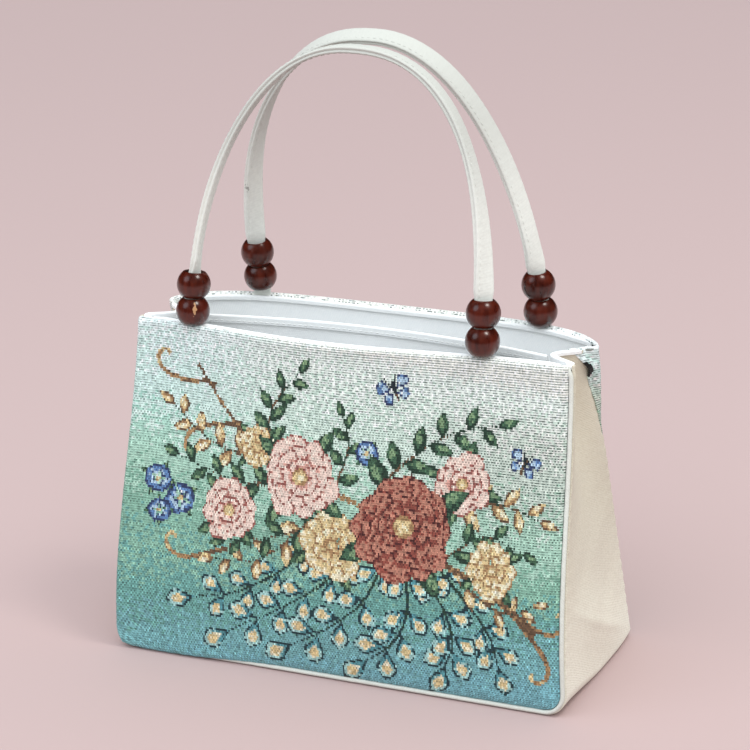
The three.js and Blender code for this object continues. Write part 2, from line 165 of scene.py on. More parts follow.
def sheet_shares(rows: bpy.types.bpy_prop_collection, key: str) -> Array:
    """Places on a flat sheet, as shares across and up.

    Args:
        rows: Vertices or faces of the sheet.
        key: Name of their place.

    Returns:
        Shares from 0 to 1, a row each.
    """
    flat = np.empty(len(rows) * 3, np.float32)
    rows.foreach_get(key, flat)
    return np.clip(flat.reshape(-1, 3)[:, :2].astype(float) + 0.5, 0, 1)


def lay_cloth(name: str, cells: tuple[int, int], size: Place, surface: Surface,
              dye: Callable[[Piece], None] | None = None) -> Piece:
    """Lay out a flat sheet of cells, dye it and drape it on a surface.

    Args:
        name: Name of the piece.
        cells: Cells across and up.
        size: Measures across and up that the sheet's own map counts.
        surface: Gives points for shares across and up.
        dye: Colours the sheet while it is flat.

    Returns:
        The new mesh object.
    """
    bpy.ops.object.select_all(action="DESELECT")
    bpy.ops.mesh.primitive_grid_add(x_subdivisions=cells[0], y_subdivisions=cells[1], size=1.0)
    obj = bpy.context.object
    obj.name = name
    obj.data.name = name
    if dye is not None:
        dye(obj)
    layer = obj.data.uv_layers.active.data
    flat = np.empty(len(layer) * 2, np.float32)
    layer.foreach_get("uv", flat)
    layer.foreach_set("uv", (flat.reshape(-1, 2) * size).astype(np.float32).ravel())
    share = sheet_shares(obj.data.vertices, "co")
    points = surface(share[:, 0], share[:, 1]) * MM
    obj.data.vertices.foreach_set("co", points.astype(np.float32).ravel())
    obj.data.update()
    return obj


def modify(obj: Piece, kind: str, **settings: object) -> None:
    """Add a modifier, set it and apply it.

    Args:
        obj: Mesh object.
        kind: Type of modifier.
        settings: Properties of the modifier.
    """
    select_only(obj)
    modifier = obj.modifiers.new(kind.title(), kind)
    for key, value in settings.items():
        setattr(modifier, key, value)
    bpy.ops.object.modifier_apply(modifier=modifier.name)


def close_up(obj: Piece) -> None:
    """Weld a rolled sheet's meeting edges, fill its ends and point its faces outwards.

    Args:
        obj: Mesh object.
    """
    select_only(obj)
    bpy.ops.object.mode_set(mode="EDIT")
    bpy.ops.mesh.select_all(action="SELECT")
    bpy.ops.mesh.remove_doubles(threshold=1e-6)
    bpy.ops.mesh.fill_holes(sides=0)
    bpy.ops.mesh.select_all(action="SELECT")
    bpy.ops.mesh.normals_make_consistent(inside=False)
    bpy.ops.object.mode_set(mode="OBJECT")


def thicken(obj: Piece, wall: float, **settings: object) -> None:
    """Give a sheet its thickness behind the outer face."""
    modify(obj, "SOLIDIFY", thickness=wall * MM, offset=-1.0, **settings)


def round_off(obj: Piece, angle: float = 60.0) -> None:
    """Shade a piece smooth, with edges sharper than an angle kept."""
    select_only(obj)
    bpy.ops.object.shade_smooth_by_angle(angle=math.radians(angle))


def new_mesh(name: str, points: Array, faces: Sequence[Sequence[int]]) -> Piece:
    """Make one mesh of many small shapes.

    Args:
        name: Name of the piece.
        points: Corners in millimetres.
        faces: Corner numbers of each face.

    Returns:
        The new mesh object.
    """
    data = bpy.data.meshes.new(name)
    data.from_pydata((points * MM).tolist(), [], faces)
    obj = bpy.data.objects.new(name, data)
    bpy.context.scene.collection.objects.link(obj)
    return obj


def register(obj: Piece, material: Material, slot: str, *nodes: str) -> None:
    """Give a finished piece its material and its body, and hide the solids that it stands for.

    Args:
        obj: Finished piece.
        material: Finish.
        slot: Not used.
        nodes: Solids that the piece replaces.
    """
    if material.name not in obj.data.materials:
        obj.data.materials.append(material)
    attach(obj, ROOT)
    if nodes:
        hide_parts(*nodes)
    LOG.info("%s: %d faces", obj.name, len(obj.data.polygons))


@dataclass(frozen=True)
class BagForm:
    """Outline, seams and faces of the bag's body."""

    base_width: float = 250.0
    mouth_width: float = 236.0
    front_base: float = -52.2
    back_base: float = 54.5
    height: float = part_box("front_panel")[1].z / MM
    back_top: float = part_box("back_panel")[1].z / MM
    front_corner: float = 12.0
    back_corner: float = 4.2
    corner_reach: float = 0.6
    front_rim_end: float = -23.3
    front_bow: float = 9.3
    front_peak: float = -12.0
    front_reach: float = 112.0
    back_rim_end: float = 6.0
    back_bow: float = 27.5
    back_overhang: float = 2.2
    back_start: float = 1.6
    belly: float = 2.0
    puff: float = 1.4
    fold_depth: float = 15.0
    fold_start: float = 0.38
    crease_height: float = 2.8
    crease_front: float = 57.0
    crease_back: float = 6.0
    crease_spread: float = 17.0
    tuck_right: float = 3.7
    tuck_left: float = 6.0
    drawn_in: float = 4.5
    left_from: float = 85.0
    left_over: float = 90.0
    right_from: float = 110.0
    right_over: float = 62.0
    puff_reach: float = 6.0
    lean_from: float = 0.12
    lean_over: float = 0.95
    spread_from: float = 0.62
    start_from: float = 0.55
    start_over: float = 0.3
    row_points: int = 241
    panel_inset: float = 3.1
    pipe_inset: float = 1.75
    seam_backset: float = 0.9
    gusset_setback: float = 1.8

    def half_width(self, z: Array) -> Array:
        """Half of the body's width at a height."""
        return between(self.base_width, self.mouth_width, np.clip(z / self.height, 0, 1)) / 2

    def corner_radius(self, v: Array) -> Array:
        """Radius of the bottom corner at a share of the way from the front seam to the back."""
        return between(self.front_corner, self.back_corner, smooth(v / self.corner_reach))

    def corner_x(self, radius: Array) -> Array:
        """Where the base's straight line meets the rounded corner."""
        return self.half_width(radius) - radius

    def outline_x(self, z: Array, inset: Array, radius: Array) -> Array:
        """Half width of the front outline with rounded bottom corners."""
        bend = np.maximum((radius - inset) ** 2 - np.maximum(radius - z, 0) ** 2, 0)
        return np.where(z >= radius, self.half_width(z) - inset, self.corner_x(radius) + np.sqrt(bend))

    def front_edge(self, z: Array) -> Array:
        """Front side seam seen from the side."""
        share = smooth((z / self.height - self.lean_from) / self.lean_over)
        return between(self.front_base, self.front_rim_end, share)

    def back_edge(self, z: Array) -> Array:
        """Back side seam seen from the side."""
        t = np.clip((z - self.back_corner) / (self.height - self.back_corner), 0, 1)
        return between(self.back_base, self.back_rim_end, t)

    def to_seam(self, x: Array, z: Array, radius: float) -> Array:
        """Distance from a panel's sewn edge."""
        reach = self.outline_x(z, 0.0, radius) - np.abs(x)
        return np.maximum(np.minimum(reach, z) - self.panel_inset, 0)

    def padding(self, x: Array, z: Array, radius: float) -> Array:
        """Height of a panel's soft face over its sewn edge."""
        return self.puff * (1 - np.exp(-self.to_seam(x, z, radius) / self.puff_reach))

    def front_face(self, x: Array, z: Array) -> Array:
        """Depth of the front panel's outer face.

        Args:
            x: Place across.
            z: Height.

        Returns:
            Y of the face.
        """
        t = np.clip(z / self.height, 0, 1)
        across = np.clip((x - self.front_peak) / self.front_reach, -1, 1)
        bow = self.front_bow * t ** 1.5 * (1 + np.cos(math.pi * across)) / 2
        belly = self.belly * np.sin(math.pi * t) * (1 - (x / self.half_width(z)) ** 2)
        return self.front_edge(z) - bow - belly - self.padding(x, z, self.front_corner)

    def back_row(self, z: float, share: Array, depth: Array | float = 0.0) -> Array:
        """Points of one level of the back panel.

        Args:
            z: Height.
            share: Shares of the level's length, from the left seam to the right one.
            depth: Distance in from the outer face.

        Returns:
            Points, a row each.
        """
        t = float(np.clip(z / self.height, 0, 1))
        shape = smooth(t)
        spread = smooth((t - self.spread_from) / (1 - self.spread_from))
        start = self.back_start * smooth((t - self.start_from) / self.start_over)
        inset = between(self.panel_inset, -self.back_overhang, spread)
        reach = float(self.outline_x(z, inset, self.back_corner))
        u = np.sin(np.linspace(-0.5, 0.5, self.row_points) * math.pi)
        bulge = np.maximum(1 - np.abs(u) ** between(2, 4, shape), 0) ** between(1, 0.625, shape)
        x = u * (reach - self.left_pull(z) * (u < 0))
        belly = self.belly * math.sin(math.pi * t) * (1 - u * u)
        y = self.back_edge(z) + start + self.back_bow * t ** 1.8 * bulge + belly
        level = np.stack([x, y + self.padding(x, z, self.back_corner)], 1)
        run = lengths(level)
        at = share * run[-1]
        along = unit(sample(at, run, np.gradient(level, run, axis=0)))
        place = sample(at, run, level)
        px = place[:, 0] + along[:, 1] * depth
        return np.stack([px, place[:, 1] - along[:, 0] * depth, np.full(len(px), z)], 1)

    def left_pull(self, z: Array) -> Array:
        """Distance that the back's left edge is drawn in towards the mouth."""
        return self.drawn_in * smooth((z - self.left_from) / self.left_over)

    def seam_tuck(self, side: int, z: Array) -> Array:
        """Distance that the gusset's back edge is drawn in towards the mouth."""
        right = self.tuck_right * smooth((z - self.right_from) / self.right_over)
        return right if side > 0 else self.tuck_left * smooth((z - self.left_from) / self.left_over)

    def side_face(self, side: int, v: Array, z: Array, depth: float = 0.0) -> Array:
        """Points of the gusset's side.

        Args:
            side: 1 on the right and -1 on the left.
            v: Share of the way from the front seam to the back seam.
            z: Height.
            depth: Distance in from the outer face.

        Returns:
            Points, a row each.
        """
        t = np.clip(z / self.height, 0, 1)
        front = self.front_edge(z) + self.gusset_setback
        back = self.back_edge(z) - self.gusset_setback
        amount = self.fold_depth * smooth((t - self.fold_start) / (1 - self.fold_start))
        wave = np.sin(math.pi * v)
        slope = amount * math.pi * np.sin(2 * math.pi * v) / (back - front)
        crease = (z - between(self.crease_front, self.crease_back, v)) / self.crease_spread
        bulge = self.crease_height * np.exp(-crease * crease) * wave
        length = np.hypot(1.0, slope)
        tuck = self.seam_tuck(side, z) * smooth((v - 0.5) / 0.5)
        outer = self.outline_x(z, depth, self.corner_radius(v)) + depth - amount * wave * wave + bulge - tuck
        x = outer - depth / length
        y = between(front, back, v) - depth * slope / length
        return np.stack([side * x, y, z + 0 * v], 1)


class Thread(Enum):
    """Colours of the jacquard's threads, as screen colours."""

    INK = (30, 44, 50)
    RUST_DEEP = (84, 36, 34)
    RUST = (138, 70, 58)
    RUST_PALE = (186, 126, 106)
    ROSE_DEEP = (150, 88, 80)
    ROSE = (206, 154, 140)
    ROSE_PALE = (236, 208, 194)
    CREAM = (238, 226, 194)
    STRAW = (216, 192, 142)
    TAN = (164, 128, 88)
    BARK = (104, 78, 56)
    LEAF_DEEP = (34, 62, 48)
    LEAF = (66, 102, 76)
    LEAF_PALE = (126, 156, 116)
    TEAL_DEEP = (24, 56, 62)
    TEAL = (84, 146, 154)
    TEAL_PALE = (164, 206, 202)
    BLUE_DEEP = (44, 60, 100)
    BLUE = (92, 128, 176)
    BLUE_PALE = (176, 202, 222)
    WHITE = (240, 244, 242)


GROUND: dict[float, Colour] = {
    2: (124, 181, 191),
    20: (120, 175, 178),
    44: (109, 165, 157),
    70: (136, 182, 161),
    96: (172, 210, 190),
    130: (210, 230, 217),
    168: (234, 243, 235),
    174: (246, 246, 238),
}


@dataclass
class Loom:
    """Cloth laid flat as cells, each of which shows one colour of thread."""

    x: Array
    z: Array
    column: Array
    row: Array
    seed: int
    half: float = 120.0
    band_rise: float = 13.0
    rim_rise: float = 9.0
    faded_tint: Colour = (-10, -18, -17)
    shaded_tint: Colour = (-2, 3, 9)
    edge_share: float = 0.8
    stray_share: float = 0.14

    def __post_init__(self) -> None:
        """Set up the cells, with floats of thread that are two columns long."""
        self.draws = np.random.default_rng(self.seed)
        floats = self.draws.random((int(self.row.max()) + 1, int(self.column.max()) // 2 + 2))
        self.toss = floats[self.row, (self.column + self.row % 2) // 2]
        self.colour = np.zeros((len(self.x), 3))
        self.figured = np.zeros(len(self.x), bool)

    def ground(self) -> None:
        """Weave the ground, graded from base to rim, with threads that change over in specks."""
        table = np.array(list(GROUND.values()), float)
        slope = between(-0.8, 1.0, smooth((self.z - 36) / 50)) * smooth((178 - self.z) / 10)
        lean = self.band_rise * self.x / self.half * slope
        level = np.interp(self.z + lean, list(GROUND), range(len(GROUND)))
        step = np.clip(np.floor(level + self.toss), 0, len(GROUND) - 1)
        self.colour = table[step.astype(int)]
        shaded = smooth((-20 - self.x) / 80) * smooth((self.z - 100) / 40)
        self.colour += self.faded()[:, None] * self.faded_tint
        self.colour += shaded[:, None] * self.shaded_tint

    def faded(self) -> Array:
        """Share of fading in each cell, towards the upper right."""
        return smooth((self.x - 10) / 90) * smooth((self.z - 76) / 40) * smooth((158 - self.z) / 26)

    def around(self, at: Place, angle: float) -> tuple[Array, Array]:
        """Measure the cells along and across a direction.

        Args:
            at: Starting point.
            angle: Direction in degrees, anticlockwise from +X.

        Returns:
            Distances along and across.
        """
        turn = math.radians(angle)
        dx = self.x - at[0]
        dz = self.z - at[1]
        along = dx * math.cos(turn) + dz * math.sin(turn)
        return along, dz * math.cos(turn) - dx * math.sin(turn)

    def weave(self, mask: Array, thread: Thread) -> None:
        """Show one thread in the masked cells."""
        self.colour[mask] = thread.value
        self.figured |= mask

    def shade(self, mask: Array, level: Array, threads: Sequence[Thread]) -> None:
        """Show a run of threads that change over in short floats.

        Args:
            mask: Cells to weave.
            level: Share of the way through the run, for every cell.
            threads: Threads from first to last.
        """
        last = len(threads) - 1
        step = np.clip(np.floor(np.clip(level, 0, 1) * last + self.toss), 0, last).astype(int)
        table = np.array([thread.value for thread in threads], float)
        self.colour[mask] = table[step[mask]]
        self.figured |= mask

    def petal(self, at: Place, angle: float, length: float, width: float, threads: Sequence[Thread],
              edge: Thread | None = None, belly: float = 0.62, rim: float = 1.1) -> None:
        """Weave a petal, leaf or wing.

        Args:
            at: Its root.
            angle: Its direction in degrees.
            length: Root to tip.
            width: At its widest.
            threads: Colours from root to tip.
            edge: Colour of its outline, if it has one.
            belly: Share of the length where it is widest.
            rim: Width of the outline.
        """
        along, across = self.around(at, angle)
        p = np.clip(along / length, 0, 1)
        power = math.log(0.5) / math.log(belly)
        half = width / 2 * np.sin(math.pi * p ** power)
        mask = (along > 0) & (along < length) & (np.abs(across) < half)
        fade = np.abs(across) / np.maximum(half, 0.01)
        self.shade(mask, p * 1.05 - 0.3 * fade * (1 - p), threads)
        if edge is not None:
            near = (np.abs(across) > half - rim) | (along > length - rim * 1.4)
            self.weave(mask & near & (self.toss < self.edge_share), edge)

    def stroke(self, points: Sequence[Place], width: float, threads: Sequence[Thread],
               taper: float = 0.5) -> None:
        """Weave a stem along a smooth curve.

        Args:
            points: Places that it passes through.
            width: Width at its start.
            threads: Colours from start to end.
            taper: Share of the width that it has at its end.
        """
        curve = smooth_curve(np.array(points, float), 14)
        best = np.full(len(self.x), 1e9)
        share = np.zeros(len(self.x))
        for i, (px, pz) in enumerate(curve):
            distance = np.hypot(self.x - px, self.z - pz)
            closer = distance < best
            best[closer] = distance[closer]
            share[closer] = i / (len(curve) - 1)
        mask = best < width / 2 * between(1.0, taper, share)
        self.shade(mask, share, threads)

    def bind(self) -> Array:
        """Cross the threads: checks low down, short dashes above them, and long ones under the rim.

        Returns:
            Share of dark binding thread that shows in each cell.
        """
        count = len(self.x)
        level = self.z + 7 * ripple(self.x, self.z, 90)
        low = smooth((92 - level) / 36)
        check = np.where((self.column + self.row) % 2 == 0, 1.0, -1.0)
        depth = np.where(self.figured, 0.08, between(0.04, 0.12, low))
        grain = self.draws.normal(0.0, 1.0, count) * between(0.05, 0.08, low)
        self.colour *= (1 + depth * check + grain)[:, None]
        shift = self.draws.integers(0, 3, int(self.row.max()) + 1)[self.row]
        long = (self.column + 2 * self.row + shift) % 5 < 3
        short = (self.column + self.row + shift // 2) % 2 == 0
        dash = np.where(self.draws.random(count) < smooth((level - 128) / 34), long, short)
        dash ^= self.draws.random(count) < self.stray_share
        amount = np.where(dash, 1.0, 0.24) * self.draws.uniform(0.6, 1.0, count)
        amount *= between(1.0, 0.8, smooth((-10 - self.x) / 80))
        rim = smooth((self.z + self.rim_rise * self.x / self.half - 160) / 10)
        amount = np.maximum(amount, rim * self.draws.uniform(0.3, 0.85, count))
        fold = smooth((self.z - 173) / 2)
        amount = between(amount, (self.draws.random(count) < 0.22) * 0.9, fold)
        amount *= between(1.0, 0.62, low) * np.where(self.figured, 0.55, 1.0)
        return np.clip(amount * between(0.92, 1.2, self.faded()), 0, 1)


def smooth_curve(points: Array, steps: int) -> Array:
    """Run a smooth curve through a few points.

    Args:
        points: Points that it passes through, one row each.
        steps: Pieces between two points.

    Returns:
        Points along the curve.
    """
    padded = np.vstack([2 * points[0] - points[1], points, 2 * points[-1] - points[-2]])
    t = np.linspace(0, 1, steps, endpoint=False)[:, None]
    parts = []
    for a, b, c, d in zip(padded, padded[1:], padded[2:], padded[3:]):
        cubic = (-a + 3 * b - 3 * c + d) * t ** 3 + (2 * a - 5 * b + 4 * c - d) * t ** 2
        parts.append((cubic + (c - a) * t + 2 * b) / 2)
    return np.vstack([*parts, points[-1:]])


class BloomKind(Enum):
    """Kinds of flower: rings of petals, petal threads from root to tip, and thread of the outline."""

    DAHLIA = (5, (Thread.RUST_DEEP, Thread.RUST, Thread.RUST_PALE), Thread.RUST_DEEP)
    ROSE = (3, (Thread.ROSE_DEEP, Thread.ROSE, Thread.ROSE_PALE, Thread.ROSE_PALE), Thread.ROSE_DEEP)
    ASTER = (2, (Thread.TAN, Thread.STRAW, Thread.CREAM), Thread.TAN)
    BLUEBELL = (1, (Thread.WHITE, Thread.BLUE_PALE, Thread.BLUE, Thread.BLUE_DEEP), Thread.BLUE_DEEP)


@dataclass(frozen=True)
class Bloom:
    """One flower of the design."""

    at: Place
    radius: float
    turn: float = 0.0


@dataclass(frozen=True)
class Spray:
    """A stem with leaves on both sides."""

    route: tuple[Place, ...]
    leaves: int
    length: float
    dry: bool = False


@dataclass(frozen=True)
class Garland:
    """A hanging run of drop-shaped leaves."""

    route: tuple[Place, ...]
    drops: int
    length: float


@dataclass(frozen=True)
class Butterfly:
    """A butterfly seen from above."""

    at: Place
    turn: float
    span: float


class FlowerCloth:
    """Design of the jacquard: a flowering branch with hanging leaves and butterflies."""

    loom: Loom
    branch: tuple[Place, ...] = (
        (108, 44), (84, 62), (52, 76), (14, 96), (-30, 108), (-62, 130), (-84, 154),
    )
    branch_width: float = 4.2
    tendril_width: float = 2.5
    stem_width: float = 1.9
    garland_width: float = 2.2
    leaf_angle: float = 52.0
    drop_angle: float = 44.0
    sprays: tuple[Spray, ...] = (
        Spray(((66, 100), (90, 104), (112, 98)), 7, 14, True),
        Spray(((-50, 112), (-76, 118), (-98, 134)), 8, 14, True),
        Spray(((70, 64), (92, 52), (110, 58)), 6, 12, True),
        Spray(((-14, 84), (-40, 62), (-70, 58)), 7, 14, True),
        Spray(((22, 104), (40, 122), (62, 136), (88, 142)), 10, 16),
        Spray(((-40, 118), (-38, 140), (-22, 160)), 8, 14),
        Spray(((62, 76), (82, 88), (104, 82)), 6, 13),
        Spray(((-34, 100), (-62, 100), (-94, 108)), 8, 14),
        Spray(((-6, 86), (-34, 74), (-64, 68)), 7, 14),
        Spray(((0, 104), (6, 124), (2, 140)), 6, 13),
    )
    garlands: tuple[Garland, ...] = (
        Garland(((-10, 74), (-30, 56), (-54, 42), (-78, 36)), 5, 18),
        Garland(((56, 72), (74, 54), (86, 38), (90, 24)), 5, 18),
        Garland(((20, 74), (-4, 54), (-30, 36), (-58, 20)), 6, 20),
        Garland(((48, 70), (62, 48), (66, 32), (62, 20)), 5, 20),
        Garland(((30, 72), (18, 48), (-2, 30), (-22, 18)), 5, 21),
        Garland(((40, 70), (42, 46), (34, 28), (20, 16)), 5, 21),
    )
    blooms: dict[BloomKind, tuple[Bloom, ...]] = {
        BloomKind.BLUEBELL: (
            Bloom((-88, 86), 8, 12), Bloom((-101, 94), 7, 40), Bloom((-99, 78), 6, 70),
            Bloom((16, 122), 6, 25),
        ),
        BloomKind.ASTER: (Bloom((86, 72), 14, 8), Bloom((0, 74), 18), Bloom((-46, 118), 11, 20)),
        BloomKind.ROSE: (Bloom((-60, 84), 16, 15), Bloom((68, 112), 16, 50), Bloom((-20, 106), 22, 30)),
        BloomKind.DAHLIA: (Bloom((38, 88), 28, 6),),
    }
    tendrils: tuple[tuple[Place, float, float], ...] = (
        ((-58, 128), 200.0, 1.0), ((-74, 146), 170.0, -1.0), ((92, 56), -20.0, 1.0),
        ((100, 50), -60.0, -1.0), ((-60, 64), 190.0, -1.0),
    )
    butterflies: tuple[Butterfly, ...] = (
        Butterfly((30, 154), 115, 19), Butterfly((100, 124), 70, 17),
    )

    def __init__(self, seed: int = 3) -> None:
        """Set the seed of the flowers' uneven petals."""
        self.draws = np.random.default_rng(seed)

    def uneven(self, spread: float) -> float:
        """Small difference, up to a spread either way."""
        return float(self.draws.uniform(-spread, spread))

    def weave(self, loom: Loom) -> None:
        """Weave the whole design into a cloth.

        Args:
            loom: Cells of the cloth.
        """
        self.loom = loom
        loom.ground()
        for at, angle, hand in self.tendrils:
            self.tendril(at, angle, hand)
        for garland in self.garlands:
            self.hang(garland)
        self.loom.stroke(self.branch, self.branch_width, (Thread.BARK, Thread.TAN, Thread.BARK))
        for spray in self.sprays:
            self.spread(spray)
        for kind, blooms in self.blooms.items():
            for bloom in blooms:
                self.rosette(kind, bloom)
        for butterfly in self.butterflies:
            self.perch(butterfly)

    def tendril(self, at: Place, angle: float, hand: float) -> None:
        """Weave a curling tendril.

        Args:
            at: Its root.
            angle: Its first direction in degrees.
            hand: 1 to curl anticlockwise, -1 to curl clockwise.
        """
        route = [at]
        heading = math.radians(angle)
        for i in range(16):
            step = 4.6 * (1 - i / 20)
            heading += hand * between(-0.12, 0.62, i / 15)
            last = route[-1]
            route.append((last[0] + step * math.cos(heading), last[1] + step * math.sin(heading)))
        self.loom.stroke(route, self.tendril_width, (Thread.BARK, Thread.TAN, Thread.STRAW), 0.8)

    def spread(self, spray: Spray) -> None:
        """Weave a stem and its leaves, larger at the root.

        Args:
            spray: Stem to weave.
        """
        curve = smooth_curve(np.array(spray.route, float), 20)
        self.loom.stroke(spray.route, self.stem_width, (Thread.BARK, Thread.LEAF_DEEP))
        for i in range(spray.leaves):
            k = int(len(curve) * between(0.12, 0.97, i / (spray.leaves - 1))) - 1
            ahead = curve[min(k + 1, len(curve) - 1)] - curve[k - 1]
            heading = math.degrees(math.atan2(ahead[1], ahead[0]))
            side = 0 if i == spray.leaves - 1 else self.leaf_angle * (1 if i % 2 else -1)
            size = spray.length * between(1.0, 0.7, i / spray.leaves)
            self.leaf(tuple(curve[k]), heading + side + self.uneven(12), size, spray.dry)

    def leaf(self, at: Place, angle: float, length: float, dry: bool = False) -> None:
        """Weave one leaf with a dark and a light half.

        Args:
            at: Its root.
            angle: Its direction in degrees.
            length: Root to tip.
            dry: True for a straw-coloured leaf.
        """
        deep, mid, pale = (Thread.BARK, Thread.STRAW, Thread.CREAM)
        body = (Thread.TAN, Thread.STRAW)
        if not dry:
            deep, mid, pale = (Thread.LEAF_DEEP, Thread.LEAF, Thread.LEAF_PALE)
            body = (deep, mid)
        self.loom.petal(at, angle, length, length * 0.5, body, deep, 0.45, 0.9)
        root = polar(at, angle, 0.18 * length)
        self.loom.petal(root, angle + 9, length * 0.7, length * 0.22, (mid, pale, mid), None, 0.45)

    def hang(self, garland: Garland) -> None:
        """Weave a garland from its end to its root, so that the upper drops lie on the lower.

        Args:
            garland: Garland to weave.
        """
        curve = smooth_curve(np.array(garland.route, float), 20)
        self.loom.stroke(garland.route, self.garland_width, (Thread.LEAF_DEEP, Thread.TEAL_DEEP))
        for i in reversed(range(garland.drops)):
            k = int((len(curve) - 2) * between(0.1, 1.0, i / (garland.drops - 1)))
            ahead = curve[k + 1] - curve[k]
            heading = math.degrees(math.atan2(ahead[1], ahead[0]))
            size = garland.length * between(0.72, 1.0, i / garland.drops)
            for side in ((0,) if i == garland.drops - 1 else (1, -1)):
                self.drop(tuple(curve[k]), heading + side * self.drop_angle, size)

    def drop(self, at: Place, angle: float, length: float) -> None:
        """Weave one drop-shaped leaf with a pale heart.

        Args:
            at: Its root.
            angle: Its direction in degrees.
            length: Root to tip.
        """
        body = (Thread.TEAL_DEEP, Thread.TEAL, Thread.TEAL_PALE, Thread.TEAL_PALE)
        self.loom.petal(at, angle, length, length * 0.6, body, Thread.TEAL_DEEP, 0.64, 1.3)
        heart = (Thread.CREAM, Thread.STRAW, Thread.CREAM)
        self.loom.petal(polar(at, angle, 0.34 * length), angle, length * 0.5, length * 0.3, heart, None, 0.6)

    def rosette(self, kind: BloomKind, bloom: Bloom) -> None:
        """Weave a flower: leaves, rings of petals from the outermost inwards, and a heart.

        Args:
            kind: Kind of flower.
            bloom: Flower to weave.
        """
        rings, threads, edge = kind.value
        for leaf in range(4):
            turn = bloom.turn + 25 + 90 * leaf
            self.leaf(polar(bloom.at, turn, bloom.radius * 0.7), turn, bloom.radius * 0.72)
        for ring in range(rings):
            reach = bloom.radius * (1 - 0.82 * ring / rings)
            petals = max(5, round(5 + 4.5 * (reach / bloom.radius) * (rings > 1)))
            for k in range(petals):
                turn = bloom.turn + 360 * (k + 0.5 * (ring % 2)) / petals + self.uneven(9)
                wide = 2 * math.pi * reach / petals * (1.08 + self.uneven(0.2))
                long = reach * (0.88 + self.uneven(0.1))
                root = polar(bloom.at, turn, reach * 0.12)
                self.loom.petal(root, turn, long, wide, threads, edge, 0.7, 0.95)
        heart = np.hypot(self.loom.x - bloom.at[0], self.loom.z - bloom.at[1]) / (bloom.radius * 0.2)
        self.loom.shade(heart < 1, heart, (Thread.CREAM, Thread.STRAW, Thread.TAN))

    def perch(self, butterfly: Butterfly) -> None:
        """Weave a butterfly.

        Args:
            butterfly: Butterfly to weave.
        """
        wing = (Thread.WHITE, Thread.BLUE_PALE, Thread.BLUE)
        half = butterfly.span / 2
        for side in (-1, 1):
            lower = butterfly.turn + side * 118
            upper = butterfly.turn + side * 56
            self.loom.petal(butterfly.at, lower, half * 0.86, half * 0.66, wing, Thread.BLUE_DEEP, 0.68)
            self.loom.petal(butterfly.at, upper, half * 1.15, half * 0.74, wing, Thread.BLUE_DEEP, 0.72)
            feeler = polar(butterfly.at, butterfly.turn + side * 22, half * 0.9)
            self.loom.stroke((butterfly.at, feeler), 1.3, (Thread.INK, Thread.INK))
        head = polar(butterfly.at, butterfly.turn, half * 0.42)
        tail = polar(butterfly.at, butterfly.turn + 180, half * 0.5)
        self.loom.stroke((head, tail), 2.4, (Thread.INK, Thread.BARK))


def polar(at: Place, angle: float, reach: float) -> Place:
    """Point at a distance and a direction from another."""
    turn = math.radians(angle)
    return (at[0] + reach * math.cos(turn), at[1] + reach * math.sin(turn))


